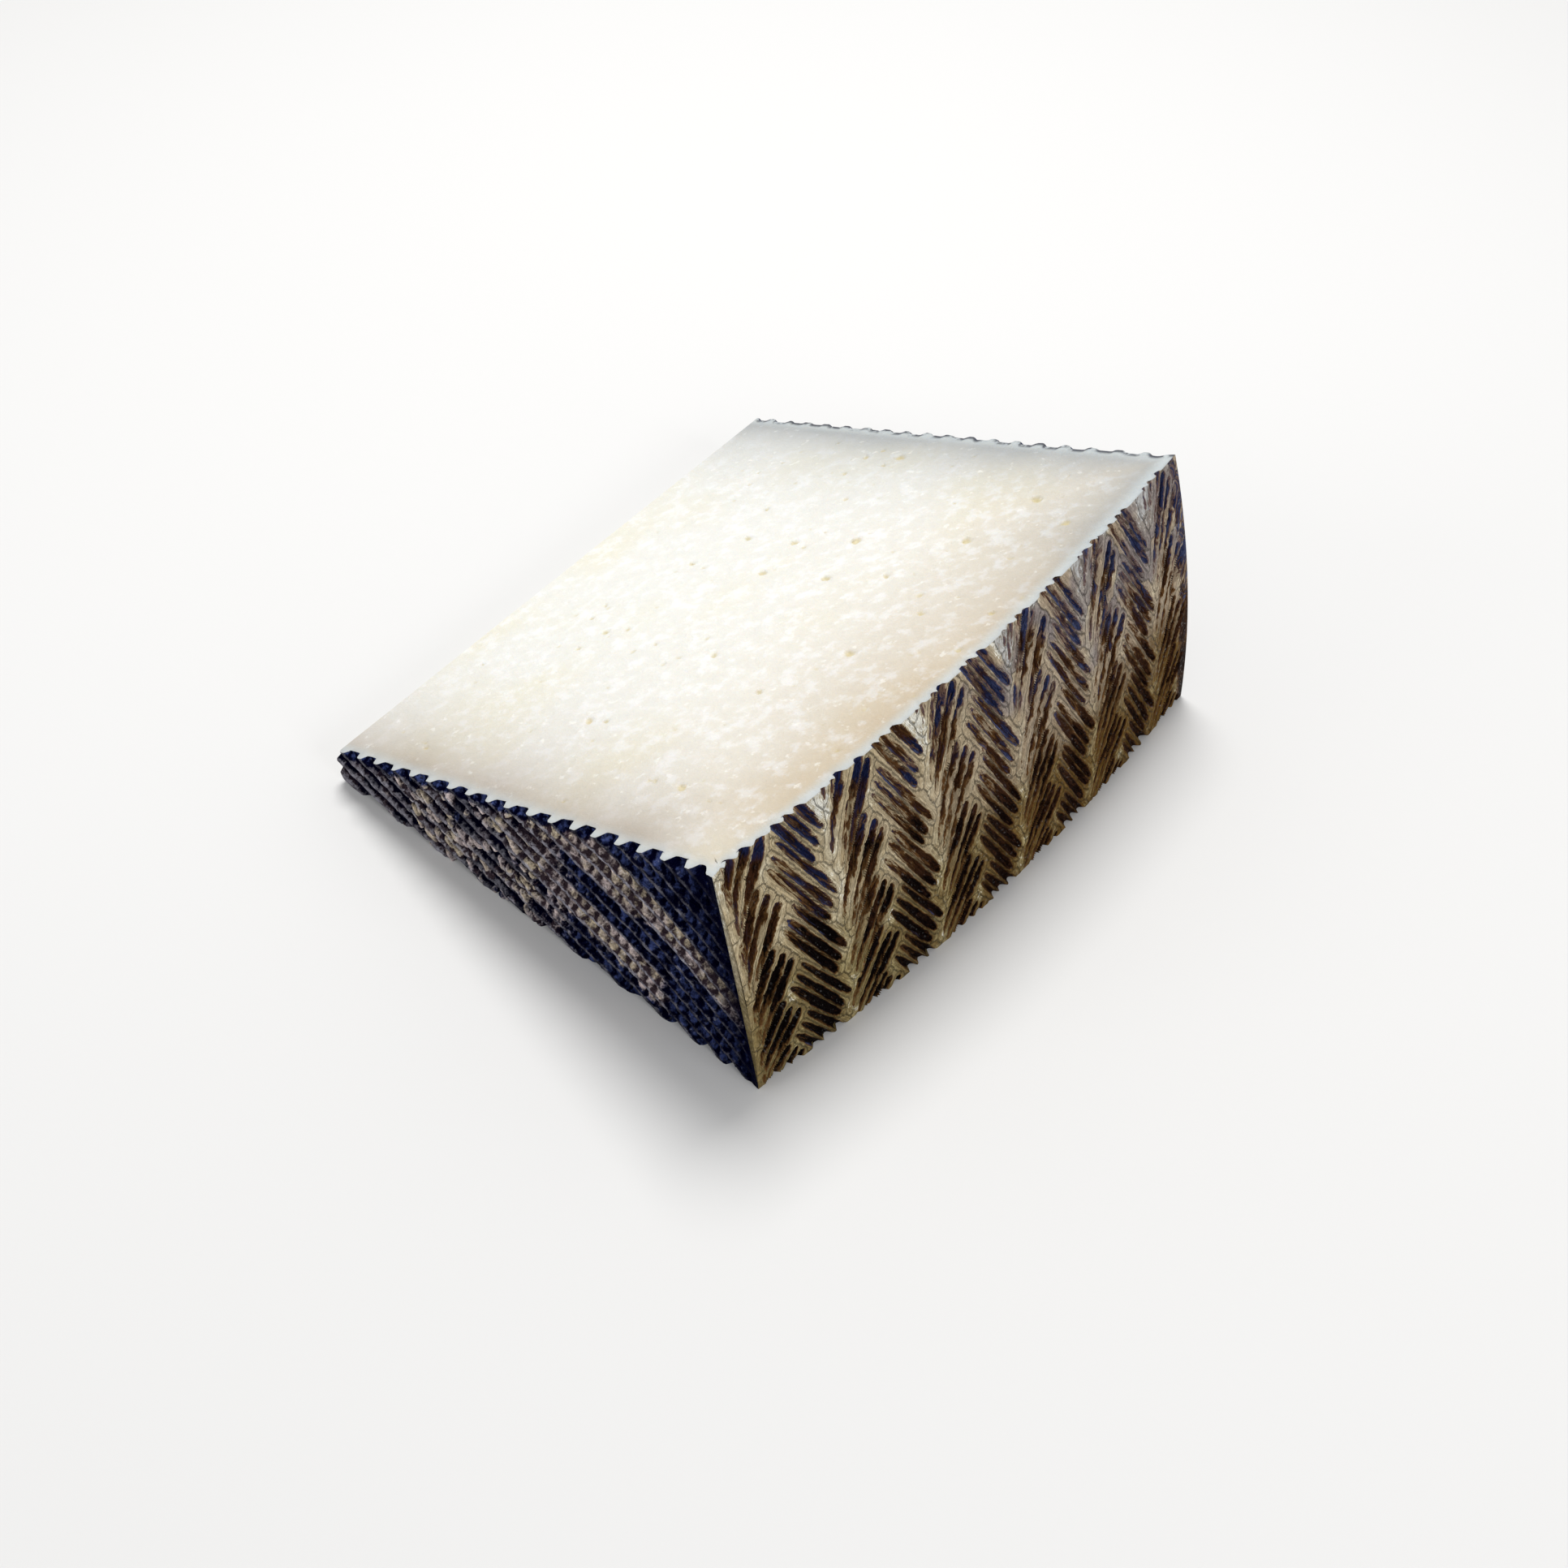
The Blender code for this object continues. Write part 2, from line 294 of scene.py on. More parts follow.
@dataclass
class Imprint:
    """What the strokes leave at each place on the rind, as they are pressed in one by one."""

    y: Array
    rise: Array
    reach: float = 2.4
    ragged: float = 0.16
    ragged_pitch: float = 0.9
    round_off: float = 0.6
    wall: Span = (1.14, 0.84)
    # On the side of a stroke that faces the light the ink draws back and fades more softly: painted light
    # on the lit groove wall.
    lit_shift: float = 0.10
    lit_wall: float = 0.30
    fibre_gap: float = 3.7
    border: Array = field(init=False)
    second: Array = field(init=False)
    depth: Array = field(init=False)
    dark: Array = field(init=False)
    progress: Array = field(init=False)
    fibre: Array = field(init=False)

    def __post_init__(self) -> None:
        """Starts without strokes."""
        self.border = np.full_like(self.y, self.reach)
        self.second = np.full_like(self.y, self.reach)
        self.depth, self.dark = np.zeros_like(self.y), np.zeros_like(self.y)
        self.progress = np.full_like(self.y, 0.5)
        cosine, sine = 0.5, 0.86
        along = self.y * cosine + self.rise * sine
        across = self.rise * cosine - self.y * sine
        self.fibre = np.stack((across, along, np.zeros_like(along)), axis=-1)

    def press(self, line: Array, number: int, seed: int) -> None:
        """Presses in one stroke.

        Args:
            line: The stroke's rows of place along the axis and round the rind, width, depth, darkness.
            number: The stroke's number, which sets its fibres apart.
            seed: Which unevenness its sides have.
        """
        low, high = line[:, :2].min(axis=0) - self.reach, line[:, :2].max(axis=0) + self.reach
        near = np.flatnonzero(
            (self.y > low[0]) & (self.y < high[0]) & (self.rise > low[1]) & (self.rise < high[1])
        )
        if not len(near):
            return
        y, rise = self.y[near], self.rise[near]
        points = np.stack((y, rise), axis=1)[:, None, :]
        start, run = line[None, :-1, :2], (line[1:, :2] - line[:-1, :2])[None]
        share = np.clip(((points - start) * run).sum(-1) / (run * run).sum(-1), 0.0, 1.0)
        offset = points - start - share[..., None] * run
        distance = np.sqrt((offset * offset).sum(-1))
        best = distance.argmin(axis=1)
        row = np.arange(len(near))
        share, offset, distance = share[row, best], offset[row, best], distance[row, best]
        run = run[0, best]
        at = line[best] + share[:, None] * (line[best + 1] - line[best])
        side = np.sign(run[:, 0] * offset[:, 1] - run[:, 1] * offset[:, 0])
        half = 0.5 * at[:, 2] * (1.0 + self.ragged * wander(y, rise, self.ragged_pitch, seed))
        away = distance / half
        border = distance - half
        closer = border < self.border[near]
        won, lost = near[closer], near[~closer]
        self.second[lost] = np.minimum(self.second[lost], border[~closer])
        self.second[won] = self.border[won]
        self.border[won] = border[closer]
        self.depth[won] = (at[:, 3] * np.clip(1.0 - away * away, 0.0, 1.0) ** self.round_off)[closer]
        # Painted light: the ink stops short and fades softly on the side of the stroke that faces the
        # light.
        lit = side < 0.0
        inked = smooth_step(away - self.lit_shift * lit, self.wall[0], self.wall[1] - self.lit_wall * lit)
        self.dark[won] = (at[:, 4] * inked)[closer]
        length = best + share
        self.progress[won] = (length / (len(line) - 1))[closer]
        apart = np.full(len(near), self.fibre_gap * number)
        self.fibre[won] = np.stack((side * distance, length * 0.6, apart), axis=1)[closer]


@dataclass(frozen=True)
class Plait:
    """The herringbone that the plaited band pressed into the rind."""

    wheel: Wheel
    column_start: float = 0.6
    pair_pitch: float = 19.25
    pairs: int = 6
    group_top: float = 30.4
    group_pitch: float = 10.85
    group_shrink: float = 0.35
    groups: tuple[int, ...] = (-2, -1, 0, 1, 2, 3)
    strokes: int = 3
    front_rim: float = 1.35
    back_rim: float = 3.0
    rim_ease: float = 0.6
    unevenness: float = 0.16
    width_spread: float = 0.07
    depth_spread: float = 0.10
    darkness: tuple[float, float, float, float] = (0.97, 0.09, 0.6, 1.1)
    samples: int = 22
    ridge: Span = (0.08, 0.52)
    ridge_dark: float = 0.25
    rim_dark: float = 0.3
    roughness: float = 0.07
    weave: float = 0.05
    weave_waves: Span = (9.0, 2.0)
    blot: tuple[float, float, float] = (49.2, 30.1, 0.95)
    bands: float = 17.6
    heads: float = 6.9
    head_turn: float = 0.45
    seed: int = 11

    def rise_of(self, turn: Array) -> Array:
        """Round the rind, in millimetres, of a place counted in groups from the top."""
        return self.group_top - self.group_pitch * turn + self.group_shrink * turn * turn

    def path(self, lay: Lay, pair: int, group: int, k: int, draw: np.random.Generator) -> Array:
        """One stroke's line, smooth and a little uneven.

        Args:
            lay: Which way the stroke runs.
            pair: Its pair of columns, counted from the front.
            group: Its group, counted down from the top.
            k: Its number in the group.
            draw: The source of the unevenness.

        Returns:
            Rows of place along the axis, place round the rind, width, depth and darkness.
        """
        along, step, turn, turn_step, width, depth, dark = np.array(lay.value).T
        y = self.column_start + self.pair_pitch * pair + along + step * k
        past = y - self.front_rim
        y = self.front_rim + 0.5 * (past + np.sqrt(past * past + self.rim_ease))
        rise = self.rise_of(group + turn + turn_step * k)
        ends = np.linspace(0.0, 1.0, len(y))
        shift = draw.normal(0.0, self.unevenness, 4)
        y = y + shift[0] + shift[1] * (ends - 0.5)
        rise = rise + shift[2] + shift[3] * (ends - 0.5)
        width = width * draw.normal(1.0, self.width_spread)
        depth = depth * draw.normal(1.0, self.depth_spread)
        mean, spread, least, most = self.darkness
        dark = dark * np.clip(draw.normal(mean, spread), least, most)
        return self.smooth_line(np.stack((y, rise, width, depth, dark), axis=1))

    def smooth_line(self, knots: Array) -> Array:
        """Runs a smooth curve through knots, every column alike.

        Args:
            knots: The rows that the curve passes through.

        Returns:
            The curve's rows, evenly spread over the knots.
        """
        count = len(knots)
        padded = np.vstack((2.0 * knots[0] - knots[1], knots, 2.0 * knots[-1] - knots[-2]))
        where = np.linspace(0.0, count - 1.0, self.samples)
        base = np.minimum(where.astype(int), count - 2)
        s = (where - base)[:, None]
        before, here, there, after = (padded[base + n] for n in range(4))
        slope_here, slope_there = 0.5 * (there - before), 0.5 * (after - here)
        return (
            (2.0 * s**3 - 3.0 * s**2 + 1.0) * here
            + (s**3 - 2.0 * s**2 + s) * slope_here
            + (3.0 * s**2 - 2.0 * s**3) * there
            + (s**3 - s**2) * slope_there
        )

    def survey(self, y: Array, rise: Array) -> dict[str, Array]:
        """The imprint at places on the rind.

        Args:
            y: Places along the axis.
            rise: Places round the rind from the base.

        Returns:
            The depth in millimetres; the dark, progress and fibre marks for the finish.
        """
        print_ = Imprint(y.ravel(), rise.ravel())
        draw = np.random.default_rng(self.seed)
        number = 0
        for pair in range(self.pairs):
            for group in self.groups:
                for k in range(self.strokes):
                    for lay in Lay:
                        line = self.path(lay, pair, group, k, draw)
                        number += 1
                        if line[:, 0].min() < self.wheel.height - self.back_rim:
                            print_.press(line, number, self.seed + 1)
        spot_y, spot_rise = print_.y, print_.rise
        parted = smooth_step(print_.second - print_.border, *self.ridge)
        rough = self.roughness * (1.0 + wander(spot_y, spot_rise, 0.75, self.seed + 5))
        waves = self.weave_waves[0] * print_.fibre[:, 0] + self.weave_waves[1] * print_.fibre[:, 2]
        weave = self.weave * (1.0 + np.cos(waves)) * (print_.depth > 0.0)
        off_blot = self.off_blot(spot_y, spot_rise) / self.blot[2]
        clear = smooth_step(off_blot + 0.2 * wander(spot_y, spot_rise, 0.6, self.seed + 9), 0.55, 1.0)
        inked = print_.dark * (self.ridge_dark + (1.0 - self.ridge_dark) * parted)
        inked *= self.rim_dark + (1.0 - self.rim_dark) * smooth_step(spot_y, 0.7, 2.0)
        uneven = 0.3 * wander(spot_y, spot_rise, 1.8, self.seed + 11)
        to_back = self.wheel.height - spot_y
        far_rim = smooth_step(to_back - 2.0 * uneven, 3.2, 1.6) * (0.75 + uneven)
        marks = {
            "depth": (print_.depth * parted + rough + weave) * clear,
            "dark": np.maximum(np.maximum(inked, 1.0 - clear), far_rim),
            "progress": print_.progress,
            "fibre": print_.fibre,
        }
        return {name: mark.reshape(y.shape + mark.shape[1:]) for name, mark in marks.items()}

    def off_blot(self, y: Array, rise: Array) -> Array:
        """How far a place on the rind is from the middle of its one dark blot."""
        return np.hypot(y - self.blot[0], rise - self.blot[1])

    def off_line(self, y: Array, line: float) -> Array:
        """How far along the axis a place is from a line that each pair of columns has."""
        half = 0.5 * self.pair_pitch
        return (y - self.column_start - line + half) % self.pair_pitch - half

    def pallor(self, y: Array, rise: Array, top: Array) -> Array:
        """Where the rind is pale: the zigzag bands between the columns, and patches under the cut.

        Args:
            y: Places along the axis.
            rise: Places round the rind.
            top: How far round the rind the cut meets it there.

        Returns:
            A share of paleness at each place.
        """
        aside = np.abs(self.off_line(y, self.bands) + 0.9 * wander(y, rise, 3.1, self.seed + 6))
        below = top - rise
        band = smooth_step(aside, 2.6, 0.5) * smooth_step(y, 0.5, 5.0)
        patch = smooth_step(aside, 3.4, 0.9) * smooth_step(below, 8.0, 1.0)
        edge = smooth_step(below, 1.2, 0.0)
        rough = 0.3 * wander(y, rise, 1.7, self.seed + 2)
        near = smooth_step(y, 95.0, 30.0)
        turn = (self.group_top - rise) / self.group_pitch
        pick = chance(np.floor(y / self.pair_pitch), np.floor(turn), self.seed + 8)
        off_head = np.abs(self.off_line(y, self.heads) + 0.2 * (turn % 1.0 - 0.5))
        off_turn = np.abs(turn % 1.0 - self.head_turn + 0.1 * wander(y, rise, 1.4, self.seed + 10))
        spots = smooth_step(off_head, 1.9, 0.3) * (0.35 + 0.65 * pick) * smooth_step(off_turn, 0.32, 0.08)
        border = smooth_step(y, 2.2, 0.6) * smooth_step(rise, 0.0, 26.0)
        bands = (0.26 + 0.20 * near + rough) * band + 0.75 * spots + 0.12 * border
        return np.clip(bands + 0.85 * patch + 0.4 * edge, 0.0, 1.0)

    def bloom(self, y: Array, rise: Array, top: Array, progress: Array) -> Array:
        """Where the hollows have a blue tint: mostly near the cut, towards the back and at the ends.

        Args:
            y: Places along the axis.
            rise: Places round the rind.
            top: How far round the rind the cut meets it there.
            progress: How far along its stroke each place lies.

        Returns:
            A share of blue at each place.
        """
        high = smooth_step(rise / top, 0.30, 0.85)
        far = smooth_step(y, 20.0, 95.0)
        ends = smooth_step(np.abs(progress - 0.45), 0.1, 0.45)
        high = np.maximum(high, smooth_step(self.off_blot(y, rise), 1.4, 0.8))
        patches = wander(y, rise, 7.0, self.seed + 3) * 0.35 + wander(y, rise, 2.4, self.seed + 4) * 0.2
        return np.clip(high * (0.35 + 0.35 * far + 0.4 * ends) + patches * (0.35 + 0.65 * high), 0.0, 1.0)


@dataclass(frozen=True)
class Mat:
    """The mat that pressed long ridges and rows of knots into the wheel's flat sides."""

    wheel: Wheel
    first: float = 11.07
    pitch: float = 3.31
    spread: float = 0.12
    spread_from: float = 12.3
    fall: float = 0.33
    bend: float = 0.008
    bend_from: float = 62.0
    inner: Span = (58.0, 38.0)
    sway: float = 0.16
    inner_sway: float = 0.14
    ripple: float = 0.10
    depth: float = 1.7
    inner_shallow: float = 0.32
    crest_half: float = 0.34
    gentle: float = 0.62
    steep: float = 0.52
    shingle: float = 0.78
    lift: float = 0.14
    line: Span = (0.62, 0.18)
    inner_line: float = 0.24
    end_gap: Span = (0.8, 2.88)
    tooth: Span = (0.4, 1.9)
    knot_pitch: float = 1.95
    knot_height: float = 1.05
    knot_half: float = 0.84
    knot_spread: float = 0.14
    knot_foot: Span = (0.04, 0.20)
    knot_head: Span = (0.98, 0.84)
    knot_least: float = 0.60
    slant: float = 0.75
    jitter: float = 0.30
    knob_height: float = 0.95
    knob_grain: Span = (1.05, 1.7)
    knob: Span = (0.14, 0.42)
    knobs_shown: Span = (0.46, 0.62)
    knobs_from: Span = (6.0, 18.0)
    ring: Span = (0.26, 0.08)
    ring_depth: float = 0.30
    wear: float = 0.10
    # How much the tan dims in the hollows round the inner knots: painted shade.
    gap_painted_shade: float = 0.62
    rim_dark: float = 0.80
    rim: Span = (10.0, 2.5)
    upper: tuple[Span, ...] = ((-0.25, 0.15), (11.75, 11.45), (40.0, 52.0), (90.0, 84.0))
    upper_low: float = 9.0
    upper_rise: float = 0.9
    upper_bend: Span = (62.0, 80.0)
    lower: tuple[Span, ...] = ((4.1, 4.5), (7.2, 6.8), (30.0, 44.0), (74.0, 69.0))
    mixed: Span = (58.0, 46.0)
    seed: int = 31

    def row(self, x: Array, z: Array) -> Array:
        """Which ridge a place lies on.

        Args:
            x: Places out from the tip.
            z: Heights.

        Returns:
            The ridge's number, counted up from the tip, plus the share of the way to the next.
        """
        level = z - self.first + self.fall * x + self.bend * np.maximum(0.0, x - self.bend_from) ** 2
        plain = level / self.pitch
        over = np.maximum(0.0, level - self.pitch * self.spread_from)
        root = np.sqrt(self.pitch * self.pitch + 4.0 * self.spread * over)
        spread_row = self.spread_from + (root - self.pitch) / (2.0 * self.spread)
        return np.where(over > 0.0, spread_row, plain)

    def survey(self, x: Array, z: Array, to_rim: Array) -> dict[str, Array]:
        """The mat's imprint at places on a flat side.

        Args:
            x: Places out from the tip.
            z: Heights.
            to_rim: How far in from the rind they lie.

        Returns:
            The depth in millimetres; the crest, knot, lot, tan and rim marks for the finish.
        """
        inner = smooth_step(x, *self.inner)
        sway = (self.sway + self.inner_sway * inner) * wander(x, z, 2.6, self.seed)
        row = self.row(x, z + sway + self.ripple * wander(x, z, 0.9, self.seed + 1))
        number = np.floor(row)
        share = row - number
        wall = smooth_step(share * self.pitch, self.crest_half, self.crest_half + self.gentle)
        wall *= smooth_step((1.0 - share) * self.pitch, self.crest_half, self.crest_half + self.steep)
        lift = 1.0 + self.lift * wander(number + 0.5, 0.1 * x, 1.0, self.seed + 10)
        band = self.depth * (self.shingle + (1.0 - self.shingle) * share) * wall * lift
        band *= 1.0 - self.inner_shallow * inner
        stagger = chance(number + 40.0, 0.0 * number, self.seed + 2)
        jitter = self.jitter * wander(x, z, 1.7, self.seed + 3)
        beat = x / self.knot_pitch + stagger + self.slant * share + jitter
        knot_number = np.floor(beat)
        lot = chance(knot_number + 90.0, number + 40.0, self.seed + 4)
        across = (beat - knot_number - 0.5) * self.knot_pitch / (self.knot_half + self.knot_spread * lot)
        knot = np.clip(1.0 - across * across, 0.0, 1.0) ** 0.8
        knot *= smooth_step(share, *self.knot_foot) * smooth_step(share, *self.knot_head)
        knot *= self.knot_least + (1.0 - self.knot_least) * lot
        fade = smooth_step(to_rim, *self.end_gap)
        below = smooth_step(self.under_cut(x, z), *self.tooth)
        along, level = (part * grain for part, grain in zip((beat, row), self.knob_grain))
        inside, knob_lot = cells(along, level + 0.25 * wander(x, z, 2.4, self.seed + 6), self.seed + 9)
        shown = smooth_step(knob_lot, *self.knobs_shown) * smooth_step(x, *self.knobs_from)
        knob, ring = smooth_step(inside, *self.knob) * shown, smooth_step(inside, *self.ring) * shown
        scattered = inner * below
        lot = np.where(scattered > 0.5, knob_lot, lot)
        rows = band - self.knot_height * knot * wall * below
        knobs = band - self.knob_height * knob * wall + self.ring_depth * ring
        dip = (rows + (knobs - rows) * scattered) * fade
        knot = knot + (knob - knot) * scattered
        worn = self.wear * (1.0 + wander(x, z, 1.1, self.seed + 5)) * smooth_step(to_rim, 0.0, 1.0)
        to_line = np.minimum(share, 1.0 - share) * self.pitch
        crest = smooth_step(to_line - self.inner_line * scattered, *self.line)
        # Painted shade: in the inner part, away from the knots' tops and the crest lines, the tan is
        # dimmed so that the dark shows, and the crest lines break in the rings round the knobs.
        gap = inner * (1.0 - np.maximum(knob, crest))
        return {
            "depth": np.clip(dip + worn, 0.0, self.depth) * smooth_step(to_rim, 0.0, 0.6),
            "crest": crest * fade * (1.0 - 0.8 * ring * scattered),
            "knot": knot * fade,
            "lot": lot,
            "tan": self.tan(x, z, row, lot) * (1.0 - self.gap_painted_shade * gap),
            "rim": np.maximum(1.0 - fade, self.rim_dark * smooth_step(to_rim, *self.rim)),
        }

    def under_cut(self, x: Array, z: Array) -> Array:
        """How far a place on a flat side is under the upper cut."""
        return self.wheel.cut_height(x, np.zeros_like(x)) - z

    def tan(self, x: Array, z: Array, row: Array, lot: Array) -> Array:
        """Where the knots are tan and not dark: two bands that fall outwards, and a mixed inner part.

        Args:
            x: Places out from the tip.
            z: Heights.
            row: The ridge that each place lies on.
            lot: A random number for each knot.

        Returns:
            A share of tan at each place.
        """
        low = self.upper_low + self.upper_rise * smooth_step(x, *self.upper_bend)
        upper = smooth_step(row - low, *self.upper[0])
        for value, span in zip((row, x, x), self.upper[1:]):
            upper = upper * smooth_step(value, *span)
        lower = np.ones_like(row)
        for value, span in zip((row, row, x, x), self.lower):
            lower = lower * smooth_step(value, *span)
        lots = 0.6 * lot + 0.4 * wander(x, z, 6.0, self.seed + 7)
        inner = 0.9 * smooth_step(x, *self.mixed) * smooth_step(lots, -0.25, 0.5)
        share = np.maximum(np.maximum(upper, lower), inner)
        patches = 0.22 * wander(x, z, 3.2, self.seed + 8) * (share > 0.02)
        return np.clip(share + patches, 0.0, 1.0) * smooth_step(self.under_cut(x, z), 0.6, 2.4)


@dataclass(frozen=True)
class Eyes:
    """The small holes that show in the upper cut face."""

    wheel: Wheel
    large: tuple[tuple[float, float, float], ...] = (
        (45.0, 74.0, 1.5), (67.3, 90.6, 1.5), (63.6, 77.6, 1.3), (33.9, 98.9, 1.3), (24.5, 70.5, 1.1),
        (35.4, 62.0, 1.2), (20.0, 61.5, 1.1), (47.8, 63.2, 1.3), (57.5, 66.0, 1.1), (34.1, 71.2, 1.2),
        (66.2, 47.0, 1.2), (44.9, 40.6, 1.1), (59.4, 34.9, 1.1), (37.7, 20.8, 1.3), (64.8, 13.2, 1.2),
        (20.6, 40.6, 1.1), (69.9, 58.6, 1.0), (76.1, 85.3, 1.2),
    )
    large_share: float = 0.82
    flatness: float = 0.5
    small_count: int = 110
    small_radius: Span = (0.32, 0.75)
    margin: float = 4.0
    farthest_x: float = 84.0
    seed: int = 51

    def holes(self) -> Array:
        """Lays out the holes; the small ones are drawn at random.

        Returns:
            A row of x, y, radius, depth, stretch and turn for each hole.
        """
        draw = np.random.default_rng(self.seed)
        rows = []
        for x, y, radius in self.large:
            form = (radius * self.large_share, radius * self.flatness)
            rows.append((x, y, *form, draw.uniform(0.55, 0.85), draw.uniform(-1.1, -0.2)))
        for _ in range(self.small_count):
            radius = draw.uniform(*self.small_radius)
            x = draw.uniform(self.margin, self.farthest_x)
            y = draw.uniform(self.margin, self.wheel.height - self.margin)
            form = (radius, radius * draw.uniform(0.3, 0.75))
            rows.append((x, y, *form, draw.uniform(0.4, 0.9), draw.uniform(-1.4, 0.2)))
        return np.array(rows)

    def survey(self, x: Array, y: Array) -> dict[str, Array]:
        """The holes at places on the cut face.

        Args:
            x: Places out from the tip.
            y: Places along the axis.

        Returns:
            The depth in millimetres, and the eye mark for the finish.
        """
        depth, inside = np.zeros_like(x), np.zeros_like(x)
        wobble = 1.0 + 0.25 * wander(x, y, 0.7, self.seed + 1)
        for hole_x, hole_y, radius, deep, stretch, turn in self.holes():
            near = (np.abs(x - hole_x) < 3.0 * radius) & (np.abs(y - hole_y) < 3.0 * radius)
            dx, dy = x[near] - hole_x, y[near] - hole_y
            along = dx * math.cos(turn) + dy * math.sin(turn)
            across = dy * math.cos(turn) - dx * math.sin(turn)
            away = np.sqrt(along * along + (across / stretch) ** 2) / radius * wobble[near]
            depth[near] = np.maximum(depth[near], deep * np.clip(1.0 - away * away, 0.0, 1.0) ** 0.7)
            inside[near] = np.maximum(inside[near], smooth_step(away, 1.15, 0.45) * min(1.0, 0.35 + deep))
        return {"depth": depth, "eye": inside}


class Skin:
    """The vertices, faces and marks of one piece, gathered grid by grid and closed."""

    def __init__(self, wheel: Wheel) -> None:
        """Starts an empty piece of a wheel."""
        self.wheel = wheel
        self.points: list[Array] = []
        self.faces: list[list[int]] = []
        self.marks: dict[str, list[Array]] = {}
        self.count = 0

    def add(self, points: Array, marks: dict[str, Array] | None = None) -> Array:
        """Adds points with their marks.

        Args:
            points: Points in millimetres, x, y and z in the last axis.
            marks: Named values or vectors at the points; what isn't given is 0.

        Returns:
            The points' numbers, in the same arrangement.
        """
        shape = points.shape[:-1]
        size = int(np.prod(shape))
        self.points.append(points.reshape(size, 3))
        given = marks or {}
        for name in set(self.marks) | set(given):
            if name not in self.marks:
                self.marks[name] = [np.zeros((self.count, *given[name].shape[len(shape):]))]
            if name in given:
                self.marks[name].append(given[name].reshape(size, *given[name].shape[len(shape):]))
            else:
                self.marks[name].append(np.zeros((size, *self.marks[name][0].shape[1:])))
        numbers = np.arange(self.count, self.count + size).reshape(shape)
        self.count += size
        return numbers

    def sheet(self, numbers: Array) -> None:
        """Adds four-sided faces between the points of a grid."""
        quads = np.stack((numbers[:-1, :-1], numbers[:-1, 1:], numbers[1:, 1:], numbers[1:, :-1]), axis=-1)
        self.faces.extend(quads.reshape(-1, 4).tolist())

    def strip(self, *rows: Array) -> None:
        """Adds four-sided faces between rows of as many points each."""
        self.sheet(np.stack(rows))

    def patch(self, *runs: Array) -> None:
        """Adds one face whose outline follows runs of points."""
        self.faces.append(np.concatenate(runs).tolist())

    def back_up(self, outer: Array, out: Array, y: Array, tuck: Array) -> None:
        """Closes a shell behind its outer grid, with two inner rows.

        Args:
            outer: The grid's point numbers.
            out: The inner rows' shares of the way out.
            y: Their places along the axis.
            tuck: How far in from the base and from the upper cut they are, as a share of the way up.
        """
        low = self.add(self.wheel.place(out, y, tuck))
        high = self.add(self.wheel.place(out, y, 1.0 - tuck))
        self.strip(outer[0], low, high, outer[-1])
        self.patch(outer[:, 0], high[:1], low[:1])
        self.patch(outer[:, -1], high[-1:], low[-1:])

    def make(self, name: str, crease: float) -> bpy.types.Object:
        """Makes the piece.

        Args:
            name: The piece's name.
            crease: The angle in degrees above which an edge stays sharp.

        Returns:
            The piece, closed, with its faces outwards.
        """
        origin = np.array(self.wheel.origin())
        mesh = bpy.data.meshes.new(name)
        mesh.from_pydata((np.concatenate(self.points) * MM + origin).tolist(), [], self.faces)
        for mark, parts in self.marks.items():
            values = np.concatenate(parts).astype(np.float32)
            kind, key = ("FLOAT", "value") if values.ndim == 1 else ("FLOAT_VECTOR", "vector")
            mesh.attributes.new(mark, kind, "POINT").data.foreach_set(key, values.ravel())
        work = bmesh.new()
        work.from_mesh(mesh)
        bmesh.ops.remove_doubles(work, verts=work.verts, dist=0.001 * MM)
        bmesh.ops.recalc_face_normals(work, faces=work.faces)
        work.to_mesh(mesh)
        work.free()
        mesh.shade_smooth()
        mesh.set_sharp_from_angle(angle=math.radians(crease))
        piece = bpy.data.objects.new(name, mesh)
        bpy.context.scene.collection.objects.link(piece)
        return piece


